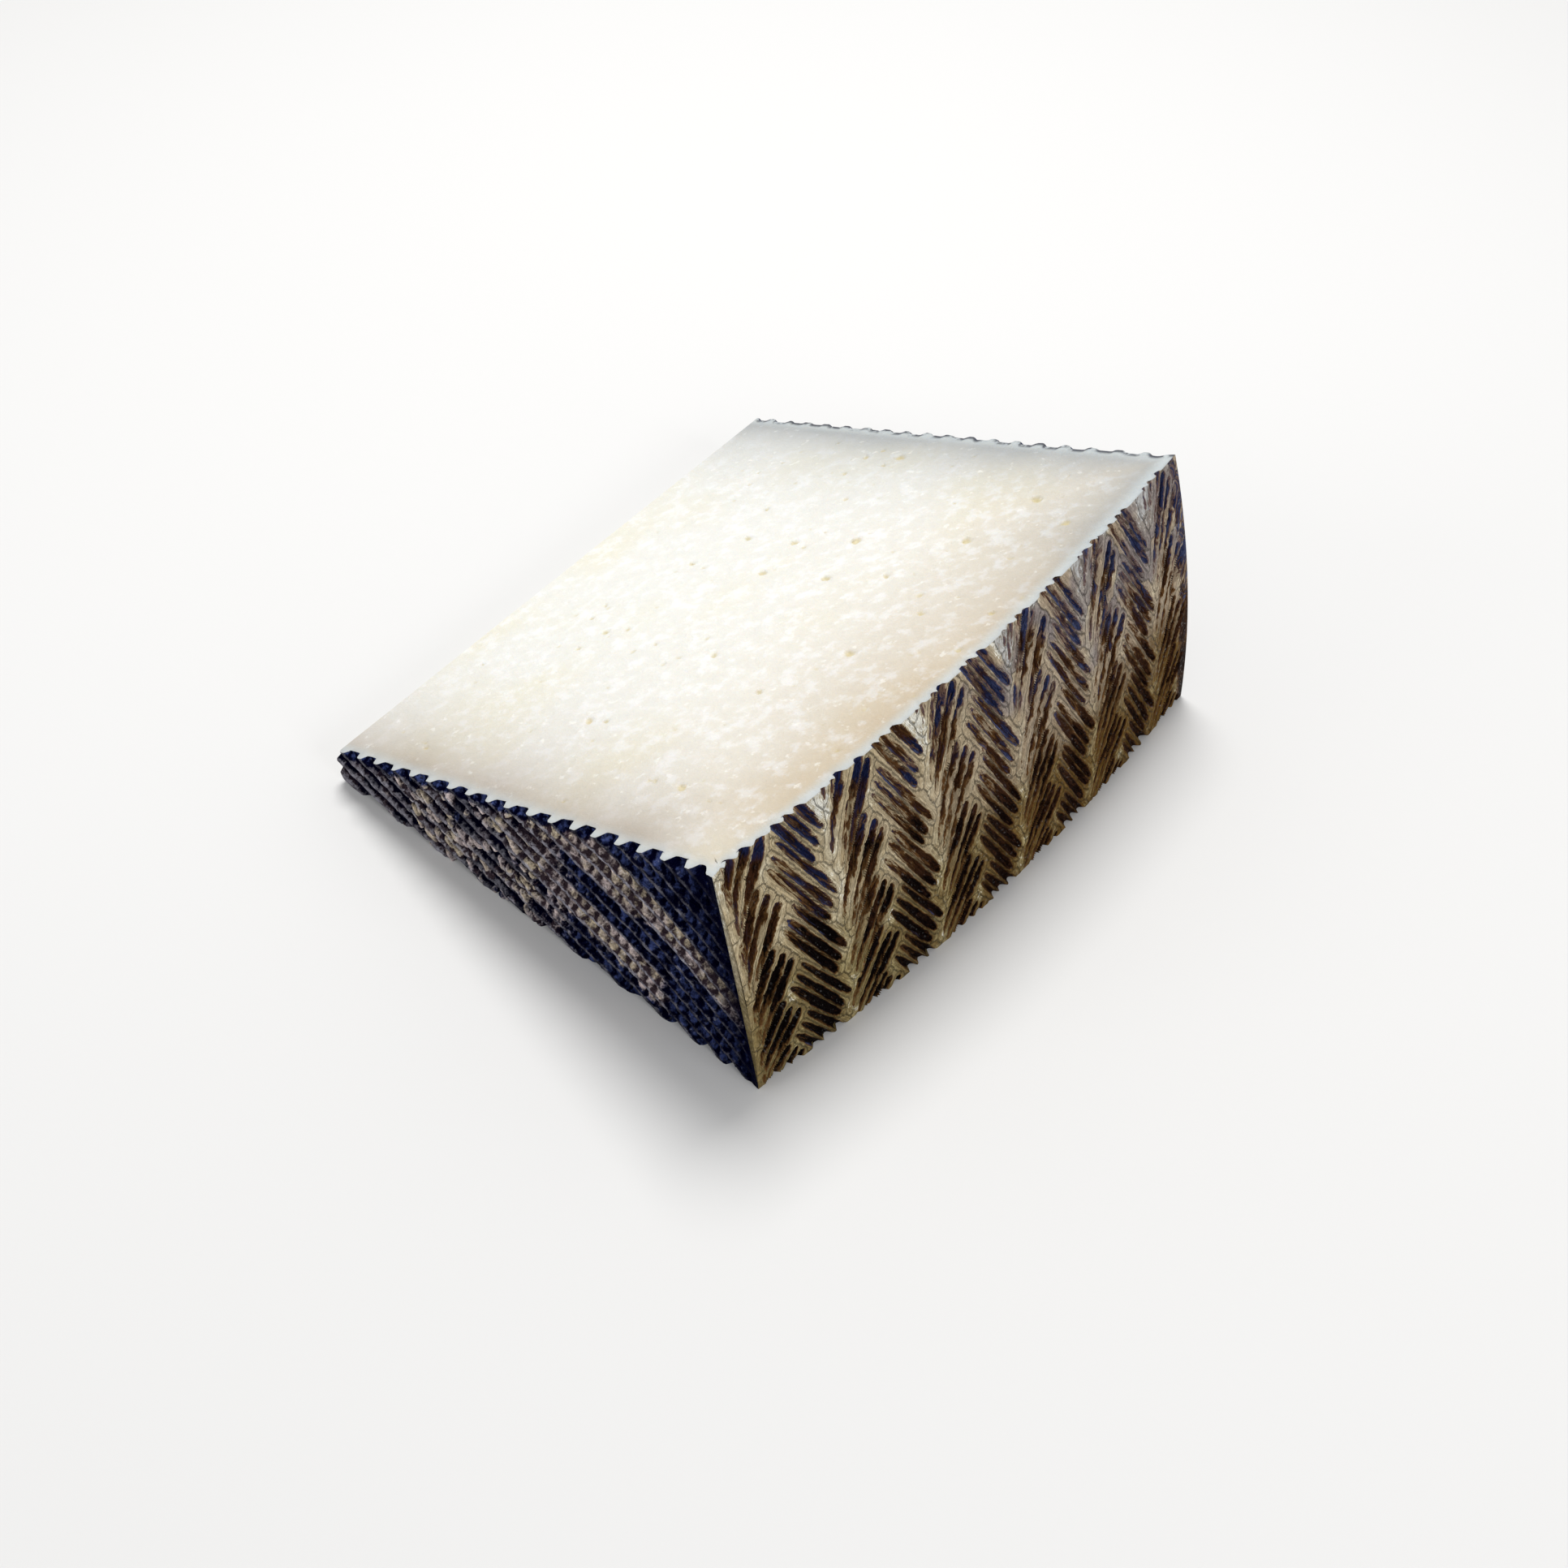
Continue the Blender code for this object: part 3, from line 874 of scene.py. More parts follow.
class Bench:
    """The nodes of one finish, with a short way to add them."""

    def __init__(self, name: str) -> None:
        """Starts a finish from a plain Principled shader."""
        self.material = bpy.data.materials.new(name)
        self.material.use_nodes = True
        self.tree = self.material.node_tree
        self.shader = self.tree.nodes["Principled BSDF"]

    def feed(self, socket: bpy.types.NodeSocket, value: object) -> None:
        """Links a channel to a socket, or sets the socket's own value.

        Args:
            socket: The socket.
            value: A channel, a colour, a number or a vector.
        """
        if isinstance(value, Channel):
            self.tree.links.new(value.socket, socket)
        elif isinstance(value, tuple) and socket.type == "RGBA":
            socket.default_value = (*value[:3], 1.0)
        else:
            socket.default_value = value

    def node(self, kind: str, settings: dict, values: dict, output: int | str = 0) -> "Channel":
        """Adds a node.

        Args:
            kind: The node's type.
            settings: Its properties, which are set first.
            values: Numbers, colours or channels for its sockets, by name or place.
            output: The output that is wanted.

        Returns:
            That output.
        """
        made = self.tree.nodes.new(kind)
        for key, value in settings.items():
            setattr(made, key, value)
        for key, value in values.items():
            self.feed(made.inputs[key], value)
        return Channel(self, made.outputs[output])

    def math(self, operation: str, first: object, second: object = 0.0) -> "Channel":
        """Adds a Math node on two values."""
        return self.node("ShaderNodeMath", {"operation": operation}, {0: first, 1: second})

    def vector_math(self, operation: str, values: dict) -> "Channel":
        """Adds a Vector Math node."""
        return self.node("ShaderNodeVectorMath", {"operation": operation}, values)

    def mark(self, name: str, output: str = "Fac") -> "Channel":
        """A mark of the mesh, as a value or as a vector."""
        return self.node("ShaderNodeAttribute", {"attribute_name": name}, {}, output)

    def marks(self, *names: str) -> list["Channel"]:
        """Marks of the mesh, as values."""
        return [self.mark(name) for name in names]

    def place(self) -> "Channel":
        """Where a point lies in the frame, in millimetres."""
        where = self.node("ShaderNodeTexCoord", {}, {}, "Object")
        return self.vector_math("SCALE", {0: where, "Scale": 1.0 / MM})

    def along(self, vector: "Channel", axis: str) -> "Channel":
        """One part of a vector, by its axis."""
        return self.node("ShaderNodeSeparateXYZ", {}, {0: vector}, axis)

    def stretched(self, vector: "Channel", scale: Colour) -> "Channel":
        """A vector with each of its parts scaled."""
        return self.vector_math("MULTIPLY", {0: vector, 1: scale})

    def noise(
        self, vector: "Channel", scale: float, detail: float = 2.0, rough: float = 0.5
    ) -> "Channel":
        """Smooth noise from 0 to 1, with a scale in waves per unit of the vector."""
        sockets = {"Vector": vector, "Scale": scale, "Detail": detail, "Roughness": rough}
        return self.node("ShaderNodeTexNoise", {}, sockets)

    def grain(self, vector: "Channel", scale: float) -> "Channel":
        """Fine strong noise from -0.5 to 0.5."""
        return self.noise(vector, scale, 3.0, 0.65).eased(0.30, 0.70) - 0.5

    def blend(self, first: object, second: object, share: object) -> "Channel":
        """Two colours mixed by a share."""
        return self.node("ShaderNodeMix", {"data_type": "RGBA"}, {0: share, 6: first, 7: second}, 2)

    def layered(self, colour: object, *layers: tuple[object, object]) -> "Channel":
        """Lays colours over a colour, in order.

        Args:
            colour: The lowest colour.
            layers: Pairs of a colour and its share.

        Returns:
            The colour that they make.
        """
        for over, share in layers:
            colour = self.blend(colour, over, share)
        return colour

    def tinted(self, colour: object, factor: "Channel") -> "Channel":
        """A colour with its brightness multiplied by a value."""
        return self.vector_math("SCALE", {0: colour, "Scale": factor})

    def bump(self, height: "Channel", depth: float, strength: float = 1.0) -> "Channel":
        """The normal of small relief, its depth in millimetres."""
        sockets = {"Strength": strength, "Distance": depth * MM, "Height": height}
        return self.node("ShaderNodeBump", {}, sockets)

    def finished(self, sockets: dict[str, object]) -> bpy.types.Material:
        """Feeds the shader.

        Args:
            sockets: What each of its sockets takes, by name.

        Returns:
            The material.
        """
        for name, value in sockets.items():
            self.feed(self.shader.inputs[name], value)
        return self.material


class Channel:
    """One output among a finish's nodes; arithmetic on it adds Math nodes."""

    def __init__(self, bench: Bench, socket: bpy.types.NodeSocket) -> None:
        """Wraps an output socket."""
        self.bench, self.socket = bench, socket

    def __add__(self, other: object) -> "Channel":
        """This plus other."""
        return self.bench.math("ADD", self, other)

    __radd__ = __add__

    def __sub__(self, other: object) -> "Channel":
        """This minus other."""
        return self.bench.math("SUBTRACT", self, other)

    def __rsub__(self, other: object) -> "Channel":
        """Other minus this."""
        return self.bench.math("SUBTRACT", other, self)

    def __mul__(self, other: object) -> "Channel":
        """This times other."""
        return self.bench.math("MULTIPLY", self, other)

    __rmul__ = __mul__

    def eased(self, low: float, high: float) -> "Channel":
        """Eases from 0 where this is low to 1 where it is high."""
        return self.bench.node(
            "ShaderNodeMapRange", {"interpolation_type": "SMOOTHSTEP"}, {0: self, 1: low, 2: high}
        )


@dataclass(frozen=True)
class PasteFinish:
    """The ivory paste: grained, with whiter specks, darker towards its rims, partly drier paste and partly
    painted shade, and warm by the rind.
    """

    name: str = "ivory_paste"
    ivory: Colour = (0.80, 0.80, 0.76)
    cream: Colour = (0.79, 0.765, 0.64)
    white: Colour = (0.86, 0.87, 0.88)
    # Colours of the darker rims: partly drier paste, partly painted shade.
    dry_and_shaded: Colour = (0.36, 0.305, 0.25)
    cool_dry_and_shaded: Colour = (0.36, 0.375, 0.38)
    warm: Colour = (0.67, 0.56, 0.40)
    cool: Colour = (0.57, 0.61, 0.61)
    speck: Colour = (0.90, 0.90, 0.87)
    eye: Colour = (0.62, 0.52, 0.25)
    crust: Colour = (0.020, 0.022, 0.040)
    roughness: float = 0.42

    def material(self) -> bpy.types.Material:
        """Makes the finish.

        Returns:
            The finish as a material.
        """
        bench = Bench(self.name)
        where = bench.place()
        rim, rind, eye, crust = bench.marks("rim", "rind", "eye", "crust")
        broad = bench.noise(where, 0.06, 2.0)
        warm = bench.noise(bench.stretched(where, (1.0, 0.7, 1.0)), 0.045, 2.0)
        clots = bench.noise(where, 0.35, 3.0, 0.6)
        grain = bench.noise(where, 1.1, 4.0, 0.62)
        flecks = bench.noise(where, 0.62, 3.0, 0.55).eased(0.62, 0.72)
        along = bench.along(where, "Y")
        back, front = along.eased(-10.0, 40.0), along.eased(-54.0, -38.0)
        by_rind = bench.math("EXPONENT", (rind + (broad - 0.5) * 14.0) * -0.055)
        # Darker and greyer towards every rim: partly drier paste and partly painted shade.
        rim_dry_and_shade = bench.math("EXPONENT", (rim + (broad - 0.5) * 5.0) * -0.10)
        rim_dry_and_shade = rim_dry_and_shade * (1.0 - rind.eased(20.0, 3.0) * (0.5 - back * 0.4))
        colour = bench.layered(
            self.ivory,
            (self.cream, warm.eased(0.42, 0.68) * 0.8),
            (self.warm, by_rind * (0.45 + front * 0.55)),
            (self.white, clots.eased(0.48, 0.66) * 0.55),
            (bench.blend(self.dry_and_shaded, self.cool_dry_and_shaded, back), rim_dry_and_shade * (1.0 + back * 0.25)),
            (self.speck, flecks * (0.55 - rim_dry_and_shade * 0.45)),
            (self.cool, rim.eased(3.4, 0.4) * 0.8),
            (self.eye, eye.eased(0.1, 1.0) * 0.65),
            (self.crust, crust * clots.eased(0.40, 0.52) * 0.9),
        )
        relief = grain * 0.6 + clots * 0.8 + bench.noise(where, 3.2, 2.0) * 0.3
        return bench.finished({
            "Base Color": bench.tinted(colour, 0.89 + grain * 0.10 + clots * 0.12),
            "Roughness": self.roughness + grain * 0.16,
            "Normal": bench.bump(relief, 0.30, 0.7),
            "Subsurface Weight": 0.22,
            "Subsurface Radius": (1.0, 0.75, 0.5),
            "Subsurface Scale": 1.2 * MM,
            "Specular IOR Level": 0.35,
        })


@dataclass(frozen=True)
class PlaitFinish:
    """The plaited rind: pale ridges and brown to black hollows, bluer near the cut and far along, with
    painted light on the lit side of each stroke and painted shade and bounce light low on the rind.
    """

    name: str = "plaited_rind"
    olive: Colour = (0.245, 0.18, 0.075)
    umber: Colour = (0.158, 0.088, 0.019)
    ridge: Colour = (0.51, 0.41, 0.25)
    dusk: Colour = (0.465, 0.37, 0.265)
    straw: Colour = (0.46, 0.38, 0.19)
    pale: Colour = (0.72, 0.64, 0.46)
    white: Colour = (0.82, 0.80, 0.71)
    brown: Colour = (0.128, 0.060, 0.019)
    plum: Colour = (0.19, 0.125, 0.110)
    black: Colour = (0.003, 0.0012, 0.0012)
    bistre: Colour = (0.010, 0.0032, 0.0018)
    sepia: Colour = (0.045, 0.017, 0.007)
    navy: Colour = (0.012, 0.017, 0.060)
    slate: Colour = (0.085, 0.105, 0.215)
    roughness: float = 0.55
    glint: float = 0.8

    def material(self) -> bpy.types.Material:
        """Makes the finish.

        Returns:
            The finish as a material.
        """
        bench = Bench(self.name)
        where = bench.place()
        y, z = bench.along(where, "Y"), bench.along(where, "Z")
        fibre = bench.mark("fibre", "Vector")
        dark, pale, bloom = bench.marks("dark", "pale", "bloom")
        coarse, thin = (bench.stretched(fibre, scale) for scale in ((2.0, 0.30, 1.0), (6.0, 0.5, 1.0)))
        streaks = bench.noise(coarse, 1.0, 3.0, 0.65).eased(0.36, 0.64) - 0.5
        hairs = bench.noise(thin, 1.0, 2.0).eased(0.32, 0.68) - 0.5
        patches = bench.noise(where, 0.16, 3.0)
        fine = bench.grain(where, 1.3)
        high = (z + patches * 16.0).eased(20.0, 36.0)
        far = (y + patches * 40.0).eased(-20.0, 34.0)
        # Painted shade and painted warm bounce light: the ridges are darker and warmer olive low on the
        # rind and paler higher up.
        low_ridge = bench.blend(self.olive, self.umber, far)
        high_ridge = bench.blend(self.ridge, self.dusk, far)
        light = pale + (patches - 0.5) * 0.8 + streaks * 0.45 + hairs * 0.2 + fine * 0.35
        light = light.eased(0.0, 0.95)
        stain = (bloom * far * high).eased(0.55, 0.95)
        ridge = bench.layered(
            bench.blend(low_ridge, high_ridge, high),
            (bench.blend(self.straw, self.pale, high), light * (0.9 - far * 0.25)),
            (self.white, (pale + fine * 0.5 + hairs * 0.3).eased(0.72, 1.05)),
            (self.slate, stain * 0.42),
        )
        # Painted light: lit is the side of each stroke that faces the light, where the ink is made less
        # dark, standing in for the lit groove wall.
        lit = bench.along(fibre, "X").eased(0.30, -0.55)
        worn = (patches * 0.6 + far * high * 0.30 + high * 0.36).eased(0.30, 0.85)
        uneven = streaks * (0.38 + worn * 0.50) + hairs * 0.2 + fine * 0.2
        shade = dark * (1.30 - worn * 0.42) - lit * (0.08 + worn * 0.18) + uneven
        browner = (fine * 0.4 + streaks * 0.7 + worn * 0.9 + far * 0.45).eased(0.20, 1.0)
        ink = bench.layered(self.black, (self.bistre, far), (self.sepia, browner))
        # Painted sheen: on the lit side of a stroke the blue turns paler and shows more, standing in for
        # the sky's sheen on the lit wall.
        paler = (lit * 0.7 + streaks * 0.6 + far * 0.35).eased(0.30, 1.10)
        blue = bench.blend(self.navy, self.slate, paler)
        bluer = (bloom + lit * 0.25 + streaks * 0.4 + hairs * 0.2).eased(0.42, 0.88)
        deep = bench.blend(ink, blue, bluer)
        middle = bench.blend(self.brown, self.plum, bloom.eased(0.30, 0.8) * (0.25 + far * 0.65))
        colour = bench.layered(
            ridge,
            (middle, shade.eased(0.10, 0.46) * dark.eased(0.0, 0.12)),
            (deep, shade.eased(0.42, 0.86) * dark.eased(0.1, 0.5)),
        )
        wet = bench.noise(where, 2.3, 1.0).eased(0.62, 0.72)
        return bench.finished({
            "Base Color": bench.tinted(colour, 1.0 + hairs * 0.35 + fine * 0.3),
            "Roughness": self.roughness + fine * 0.2,
            "Coat Weight": wet * self.glint,
            "Coat Roughness": 0.18,
            "Normal": bench.bump(streaks * 0.5 + hairs * 0.25 + fine * 0.35, 0.40),
            "Specular IOR Level": 0.03,
        })


@dataclass(frozen=True)
class MatFinish:
    """The wheel's flat sides: navy to black, with grey crests and tan knots, and painted highlights on the
    knots.
    """

    name: str = "ridged_rind"
    black: Colour = (0.0001, 0.0003, 0.0120)
    navy: Colour = (0.040, 0.058, 0.170)
    grey: Colour = (0.34, 0.335, 0.39)
    tan: Colour = (0.67, 0.56, 0.55)
    sand: Colour = (0.61, 0.51, 0.37)
    bark: Colour = (0.058, 0.038, 0.048)
    # The colour of the painted highlights on the raised knots.
    light: Colour = (0.80, 0.76, 0.76)
    roughness: float = 0.48
    glint: float = 0.8

    def material(self) -> bpy.types.Material:
        """Makes the finish.

        Returns:
            The finish as a material.
        """
        bench = Bench(self.name)
        where = bench.place()
        crest, knot, lot, tan, rim = bench.marks("crest", "knot", "lot", "tan", "rim")
        patches = bench.noise(where, 0.22, 3.0)
        fine = bench.grain(where, 1.4)
        raised = (knot + fine * 0.55).eased(0.26, 0.90)
        bluer = (patches + lot * 0.35 + fine * 0.5).eased(0.25, 1.0)
        # Painted highlight: pale flecks on the raised knots stand in for small glints of light.
        painted_glint = bench.noise(where, 1.9, 2.0).eased(0.56, 0.70) * raised
        pale = bench.layered(
            self.bark,
            (bench.blend(self.tan, self.sand, patches.eased(0.4, 0.6)), raised * (0.70 + lot * 0.30)),
            (self.light, painted_glint * 0.6),
        )
        broken = bench.noise(where, 0.55, 2.0).eased(0.40, 0.58)
        line = (crest + fine * 0.8).eased(0.40, 1.05) * (broken * 0.30 + 0.10 + tan * 0.5)
        colour = bench.layered(
            bench.blend(self.black, self.navy, raised * bluer),
            (pale, (tan + fine * 0.3).eased(0.25, 0.75)),
            (self.grey, line),
            (self.black, rim * 0.9),
        )
        wet = bench.noise(where, 1.6, 1.0).eased(0.60, 0.70) * raised
        return bench.finished({
            "Base Color": bench.tinted(colour, 1.0 + fine * 0.5),
            "Roughness": self.roughness + fine * 0.2,
            "Coat Weight": wet * self.glint,
            "Coat Roughness": 0.15,
            "Normal": bench.bump(fine, 0.40),
            "Specular IOR Level": 0.012,
        })


def join_ends(points: Array) -> None:
    """Puts every other point of a grid's top and bottom row between its neighbours."""
    for row in (points[0], points[-1]):
        row[1::2] = 0.5 * (row[:-1:2] + row[2::2])


class Face(Enum):
    """Which flat side of the wheel, with the direction inwards along the axis."""

    FRONT = 1.0
    BACK = -1.0


@dataclass
class RindSide:
    """The wheel's round side, as a shell of rind with the plait pressed in."""

    wheel: Wheel
    plait: Plait
    columns: int = 600
    rows: int = 155
    thickness: float = 2.2
    tuck: float = 1.0
    rim_ease: float = 0.9
    crease: float = 80.0

    def depth(self, y: Array, up: Array) -> Array:
        """How deep the imprint is, as a share of the way to the tip."""
        marks = self.plait.survey(y, up * self.wheel.rise(y))
        return self.eased(marks["depth"], y) / self.wheel.width(y, up)

    def eased(self, depth: Array, y: Array) -> Array:
        """Brings the imprint up to the surface at the two rims."""
        to_rim = np.minimum(y, self.wheel.height - y)
        return depth * smooth_step(to_rim, 0.0, self.rim_ease)

    def build(self) -> bpy.types.Object:
        """Builds the shell.

        Returns:
            The piece, closed.
        """
        wheel, skin = self.wheel, Skin(self.wheel)
        share = shares(self.columns)
        up, y = np.meshgrid(shares(self.rows), share * wheel.height, indexing="ij")
        top = wheel.rise(y)
        rise = up * top
        marks = self.plait.survey(y, rise)
        depth = self.eased(marks.pop("depth"), y)
        marks["pale"] = self.plait.pallor(y, rise, top)
        marks["bloom"] = self.plait.bloom(y, rise, top, marks.pop("progress"))
        points = wheel.place(1.0 - depth / wheel.width(y, up), y, up)
        join_ends(points)
        outer = skin.add(points, marks)
        skin.sheet(outer)
        inner_y = self.thickness + share * (wheel.height - 2.0 * self.thickness)
        inner_out = 1.0 - self.thickness / wheel.width(inner_y, 0.0 * inner_y)
        skin.back_up(outer, inner_out, inner_y, self.tuck / wheel.rise(inner_y))
        return skin.make("rind_side", self.crease)


@dataclass
class FlatSide:
    """One of the wheel's flat sides, as a shell of rind with the mat pressed in."""

    wheel: Wheel
    mat: Mat
    face: Face
    name: str
    columns: int = 460
    rows: int = 190
    thickness: float = 2.2
    tuck: float = 1.0
    crease: float = 80.0

    def inwards(self, depth: Array) -> Array:
        """The place along the axis at a depth under this side."""
        return depth if self.face is Face.FRONT else self.wheel.height - depth

    def survey(self, out: Array, up: Array) -> dict[str, Array]:
        """The mat's imprint on this side.

        Args:
            out: Shares of the way from the tip to the rind.
            up: Shares of the way from the base to the upper cut.

        Returns:
            The mat's depth and marks there.
        """
        y = self.inwards(0.0 * out)
        points = self.wheel.place(out, y, up)
        to_rim = (1.0 - out) * self.wheel.width(y, up)
        return self.mat.survey(points[..., 0], points[..., 2], to_rim)

    def build(self) -> bpy.types.Object:
        """Builds the shell.

        Returns:
            The piece, closed.
        """
        wheel, skin = self.wheel, Skin(self.wheel)
        share = shares(self.columns)
        up, out = np.meshgrid(shares(self.rows), share, indexing="ij")
        marks = self.survey(out, up)
        depth = marks.pop("depth")
        points = wheel.place(out, self.inwards(depth), up)
        join_ends(points)
        outer = skin.add(points, marks)
        skin.sheet(outer)
        inset = self.thickness / wheel.outermost_x
        inner_out = inset + share * (1.0 - 2.0 * inset)
        inner_y = self.inwards(np.full_like(share, self.thickness))
        height = wheel.place(inner_out, inner_y, np.ones_like(share))[:, 2]
        skin.back_up(outer, inner_out, inner_y, self.tuck / height)
        return skin.make(self.name, self.crease)


@dataclass
class Paste:
    """The cheese inside the rind, with its upper and lower cut faces and the blunt tip."""

    wheel: Wheel
    rind: RindSide
    front: FlatSide
    back: FlatSide
    eyes: Eyes
    columns: int = 230
    tip_rows: int = 20
    ease: float = 5.0
    inset: float = 2.0
    tuck: float = 0.3
    waviness: float = 0.05
    wave_pitch: float = 6.0
    wave_seed: int = 71
    crust: Span = (1.1, 0.3)
    crease: float = 35.0
    base_inset: float = 3.0
    base_columns: int = 24
    rows: int = field(init=False)

    def __post_init__(self) -> None:
        """Takes half as many rows along the axis as the rind has."""
        self.rows = self.rind.columns // 2

    def drawn_in(self, y: Array, out: Array, up: Array) -> Array:
        """Draws places along the axis in, to the imprint of the flat sides.

        Args:
            y: Places along the axis.
            out: The shares of the way out at which they stand.
            up: The shares of the way up.

        Returns:
            The places, moved where they are near a side.
        """
        front, back = (side.survey(out, up)["depth"] for side in (self.front, self.back))
        near_front = smooth_step(y, self.ease, 0.0)
        near_back = smooth_step(self.wheel.height - y, self.ease, 0.0)
        return y + near_front * front - near_back * back

    def edges(self, up: float) -> tuple[Array, Array]:
        """Where a grid's points lie on a cut face, out to the imprinted edges.

        Args:
            up: 1 for the upper cut, 0 for the base.

        Returns:
            The shares of the way out, and the places along the axis.
        """
        wheel = self.wheel
        out, y = shares(self.columns), shares(self.rows) * wheel.height
        rind = self.rind.depth(y, np.full_like(y, up))
        near_rind = smooth_step((1.0 - out) * wheel.outermost_x, self.ease, 0.0)
        return out - near_rind * rind[:, None], self.drawn_in(y[:, None], out, np.full_like(out, up))

    def rim(self, out: Array, y: Array) -> Array:
        """How far a place is from the rind, on any side."""
        to_rind = (1.0 - out) * self.wheel.outermost_x
        return np.minimum(np.minimum(y, self.wheel.height - y), to_rind)

    def edge_marks(self, out: Array, y: Array) -> dict[str, Array]:
        """How far a place is from the nearest rind, and from the round side's rind."""
        return {"rim": self.rim(out, y), "rind": (1.0 - out) * self.wheel.outermost_x}

    def round_trip(self, numbers: Array) -> Array:
        """The edge of a grid from the tip along the front, the rind and the back to the tip."""
        return np.concatenate((numbers[0, :-1], numbers[:-1, -1], numbers[-1, ::-1]))

    def lay_base(self, skin: Skin, outline: Array) -> None:
        """Fills the base, flat, with triangles between its outline and a grid of points.

        Args:
            skin: The piece so far.
            outline: The numbers of the base's outline points, in order.
        """
        part = self.base_inset / self.wheel.outermost_x
        out, y = np.meshgrid(
            np.linspace(part, 1.0 - part, self.base_columns),
            np.linspace(self.base_inset, self.wheel.height - self.base_inset, self.base_columns),
        )
        inner = skin.add(self.wheel.place(out, y, np.zeros_like(out)), self.edge_marks(out, y))
        numbers = np.concatenate((outline, inner.ravel()))
        flat = [Vector(point) for point in np.concatenate(skin.points)[numbers, :2].tolist()]
        inside_only = 1
        made = delaunay_2d_cdt(flat, [], [list(range(len(outline)))], inside_only, 1e-5)
        for face in made[2]:
            skin.patch(numbers[[made[3][corner][0] for corner in face]])

    def tucked(self, out: Array, y: Array, up: float) -> Array:
        """Points under the rind, close to a cut face.

        Args:
            out: Shares of the way from the tip to the rind.
            y: Places along the axis.
            up: 1 for the upper cut, 0 for the base.

        Returns:
            The points, in millimetres.
        """
        wheel = self.wheel
        inset = self.inset / wheel.outermost_x
        inner_out = inset + out * (1.0 - 2.0 * inset)
        inner_y = self.inset + y * (1.0 - 2.0 * self.inset / wheel.height)
        height = wheel.place(inner_out, inner_y, np.ones_like(out))[..., 2]
        share = self.tuck / height
        return wheel.place(inner_out, inner_y, share if up == 0.0 else 1.0 - share)

    def build(self) -> bpy.types.Object:
        """Builds the paste.

        Returns:
            The piece, closed.
        """
        wheel, skin = self.wheel, Skin(self.wheel)
        out, y = self.edges(1.0)
        upper = wheel.place(out, y, np.ones_like(out))
        holes = self.eyes.survey(upper[..., 0], upper[..., 1])
        axis = np.linspace(0.0, wheel.height, self.rows + 1)
        crust = np.repeat(smooth_step(wheel.height - axis, *self.crust)[:, None], self.columns + 1, axis=1)
        rim = self.rim(out, y)
        calm = smooth_step(np.minimum(rim, out * wheel.outermost_x), 0.6, 3.0)
        waves = self.waviness * wander(upper[..., 0], upper[..., 1], self.wave_pitch, self.wave_seed)
        upper[..., 2] += np.minimum((waves - holes["depth"]) * calm, 0.0)
        top = skin.add(upper, {"eye": holes["eye"] * calm, "crust": crust, **self.edge_marks(out, y)})
        skin.sheet(top)
        low_out, low_y = self.edges(0.0)
        base_out, base_y = self.round_trip(low_out), self.round_trip(low_y)
        base_points = wheel.place(base_out, base_y, np.zeros_like(base_out))
        base = skin.add(base_points, self.edge_marks(base_out, base_y))
        up = shares(self.tip_rows)[:, None]
        tip_y = self.drawn_in(axis, np.zeros_like(up), up)
        tip_out = np.zeros_like(tip_y)
        tip = skin.add(wheel.place(tip_out, tip_y, up), self.edge_marks(tip_out, tip_y))
        skin.sheet(tip)
        self.lay_base(skin, np.concatenate((base, tip[0, ::-1][1:-1])))
        high_path = self.round_trip(top)
        high_in = skin.add(self.tucked(self.round_trip(out), self.round_trip(y), 1.0))
        low_in = skin.add(self.tucked(base_out, base_y, 0.0))
        skin.strip(high_path, high_in, low_in, base)
        skin.patch(tip[:, 0], high_in[:1], low_in[:1])
        skin.patch(tip[:, -1], high_in[-1:], low_in[-1:])
        return skin.make("cheese_paste", self.crease)


@dataclass(frozen=True)
class Viewpoint:
    """Where the camera stands and looks, in the frame, in metres."""

    place: tuple[float, float, float] = (0.15084, -0.16271, 0.21588)
    ahead: tuple[float, float, float] = (-0.4654, 0.5169, -0.7185)
    roll: float = -0.5887
    field_of_view: float = 45.656

    def build(self) -> None:
        """Adds the camera."""
        lens = bpy.data.cameras.new("camera")
        lens.sensor_fit = "HORIZONTAL"
        lens.angle = math.radians(self.field_of_view)
        lens.clip_start = 0.01
        camera = bpy.data.objects.new("camera", lens)
        turn = Vector(self.ahead).to_track_quat("-Z", "Y").to_matrix().to_4x4()
        rolled = turn @ Matrix.Rotation(math.radians(self.roll), 4, "Z")
        camera.matrix_world = Matrix.Translation(self.place) @ rolled
        bpy.context.scene.collection.objects.link(camera)
        bpy.context.scene.camera = camera


@dataclass(frozen=True)
class Lamp:
    """One soft light: where it hangs, where it points, its size and its power."""

    name: str
    place: tuple[float, float, float]
    size: float
    power: float
    colour: Colour = (1.0, 1.0, 1.0)
    target: Colour = (0.0, 0.0, 0.02)

    def build(self) -> None:
        """Adds the light, pointed at the wedge."""
        light = bpy.data.lights.new(self.name, "AREA")
        light.shape = "DISK"
        light.size = self.size
        light.energy = self.power
        light.color = self.colour
        lamp = bpy.data.objects.new(self.name, light)
        lamp.location = self.place
        ahead = Vector(self.target) - Vector(self.place)
        lamp.rotation_euler = ahead.to_track_quat("-Z", "Y").to_euler()
        bpy.context.scene.collection.objects.link(lamp)


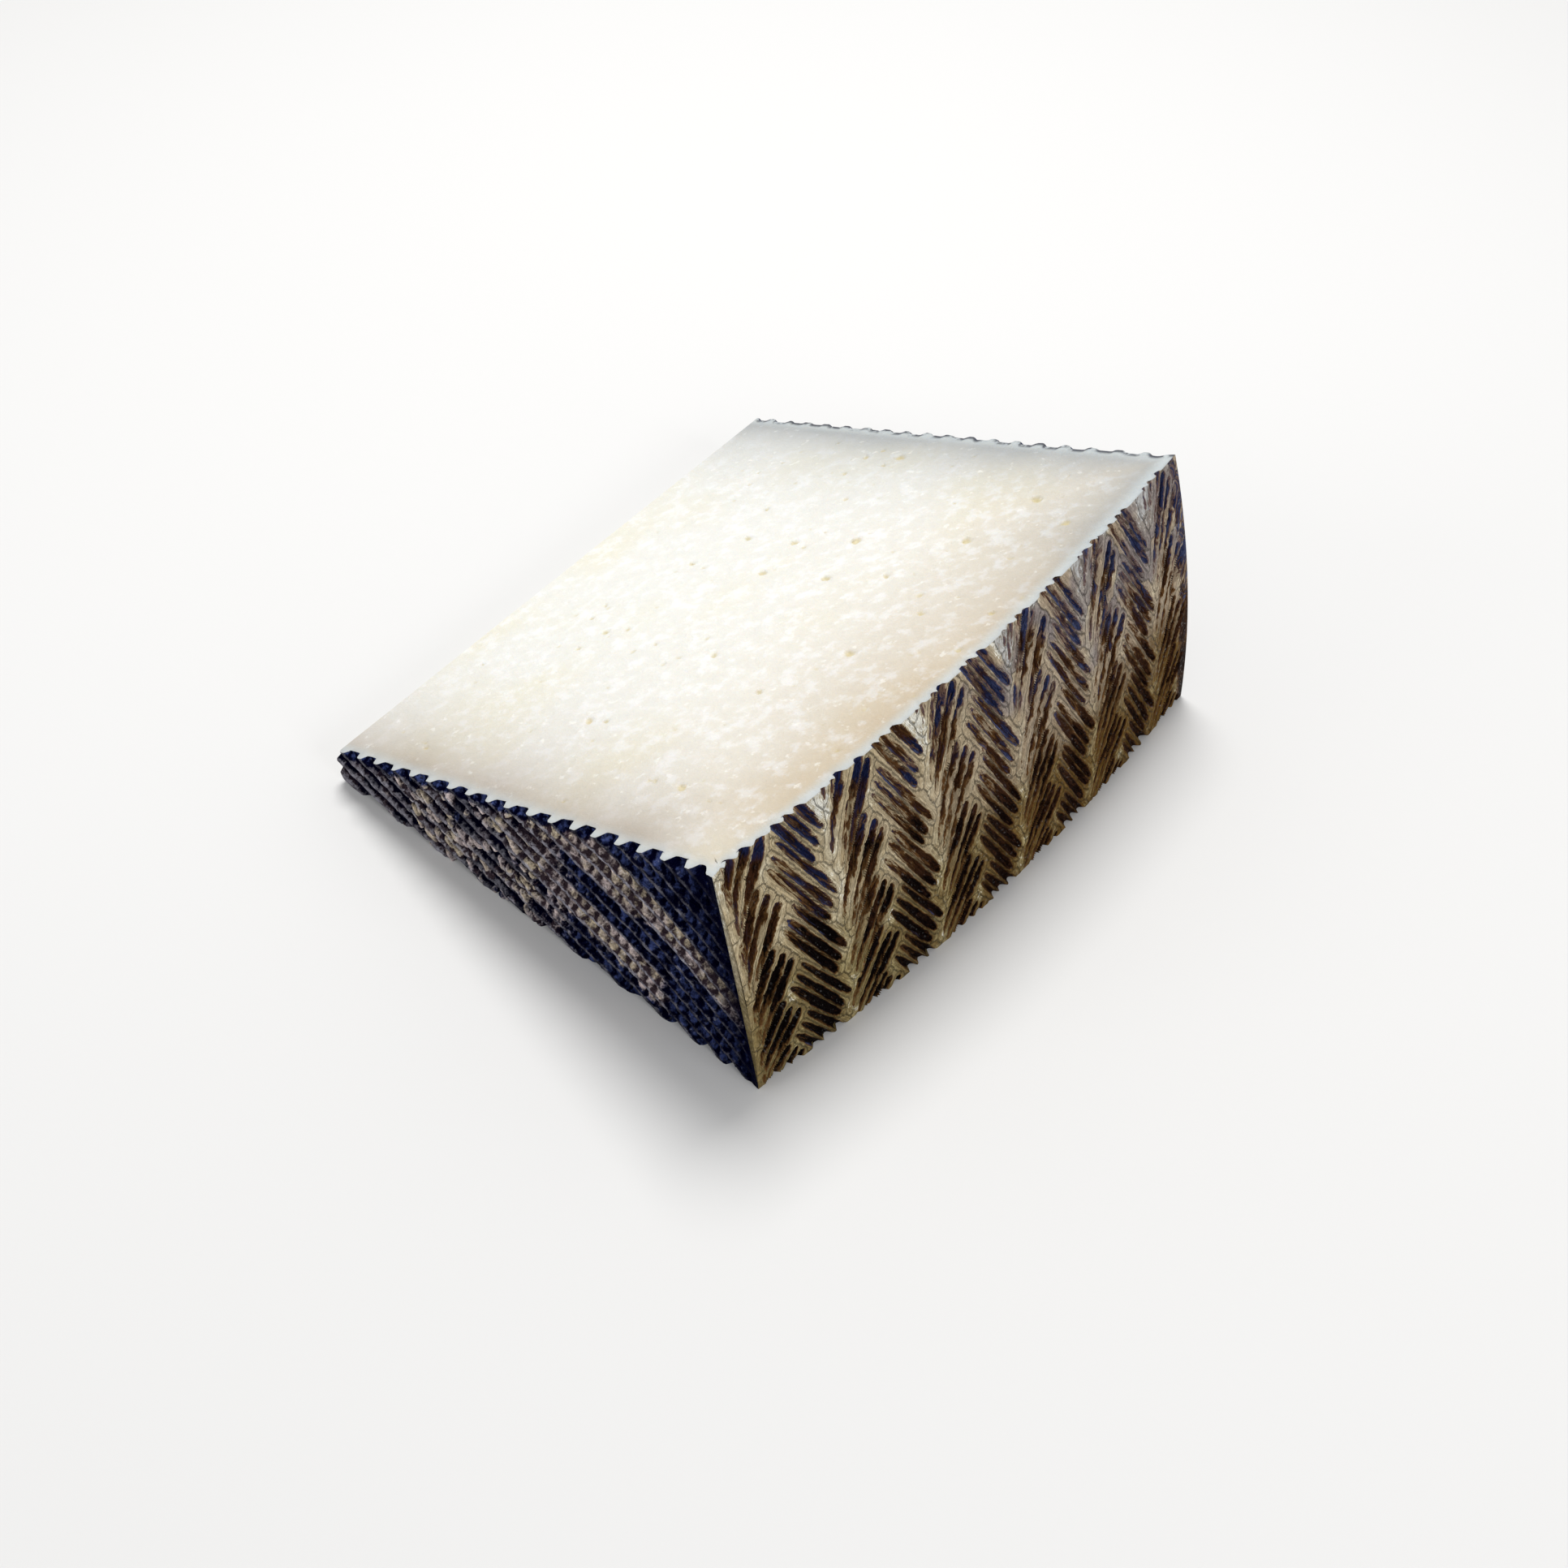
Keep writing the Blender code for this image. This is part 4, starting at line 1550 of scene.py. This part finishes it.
@dataclass(frozen=True)
class Studio:
    """A pale plain floor under soft light."""

    floor_size: float = 6.0
    floor_gap: float = 0.02 * MM
    floor_colour: Colour = (0.74, 0.74, 0.74)
    floor_roughness: float = 0.9
    sky: Colour = (1.0, 1.0, 1.0)
    sky_strength: float = 0.42
    lamps: tuple[Lamp, ...] = (
        Lamp("overhead", (-0.20, 0.22, 0.75), 0.35, 5.1, (1.0, 0.99, 0.97)),
        Lamp("right", (0.75, -0.05, 0.38), 0.45, 2.0),
        Lamp("front", (-0.30, -0.75, 0.30), 0.50, 1.2),
    )

    def build(self) -> None:
        """Adds the floor, the world and the lights."""
        height = CAD_BOX[0].z - self.floor_gap
        bpy.ops.mesh.primitive_plane_add(size=self.floor_size, location=(0.0, 0.0, height))
        floor = bpy.context.object
        floor.name = "floor"
        finish = {"Base Color": self.floor_colour, "Roughness": self.floor_roughness}
        floor.data.materials.append(Bench("pale_floor").finished(finish))
        world = bpy.data.worlds.new("soft_white")
        world.use_nodes = True
        background = world.node_tree.nodes["Background"]
        background.inputs["Color"].default_value = (*self.sky, 1.0)
        background.inputs["Strength"].default_value = self.sky_strength
        bpy.context.scene.world = world
        bpy.context.scene.view_settings.view_transform = "Standard"
        for lamp in self.lamps:
            lamp.build()


def dress(piece: bpy.types.Object, material: bpy.types.Material, slot: str) -> None:
    """Gives a piece its finish and its place in the frame.

    Args:
        piece: The piece.
        material: Its finish.
        slot: A name for the kind of finish, which is only logged.
    """
    piece.data.materials.append(material)
    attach(piece, BODY)
    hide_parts(NODE)
    log.info("%s: %d faces, %s", piece.name, len(piece.data.polygons), slot)


def main() -> None:
    """Builds the wedge's pieces, dresses them and sets up the studio."""
    logging.basicConfig(level=logging.INFO, format="%(name)s: %(message)s")
    wheel = Wheel()
    mat = Mat(wheel)
    worn_mat = Mat(wheel, depth=1.0, knot_height=0.65, knob_height=0.6, lift=0.6)
    rind = RindSide(wheel, Plait(wheel))
    front = FlatSide(wheel, mat, Face.FRONT, "front_side")
    back = FlatSide(wheel, worn_mat, Face.BACK, "back_side")
    paste = Paste(wheel, rind, front, back, Eyes(wheel))
    mat_finish = MatFinish().material()
    dress(paste.build(), PasteFinish().material(), "paste")
    dress(rind.build(), PlaitFinish().material(), "rind")
    dress(front.build(), mat_finish, "rind")
    dress(back.build(), mat_finish, "rind")
    Viewpoint().build()
    Studio().build()


if __name__ == "__main__":
    main()
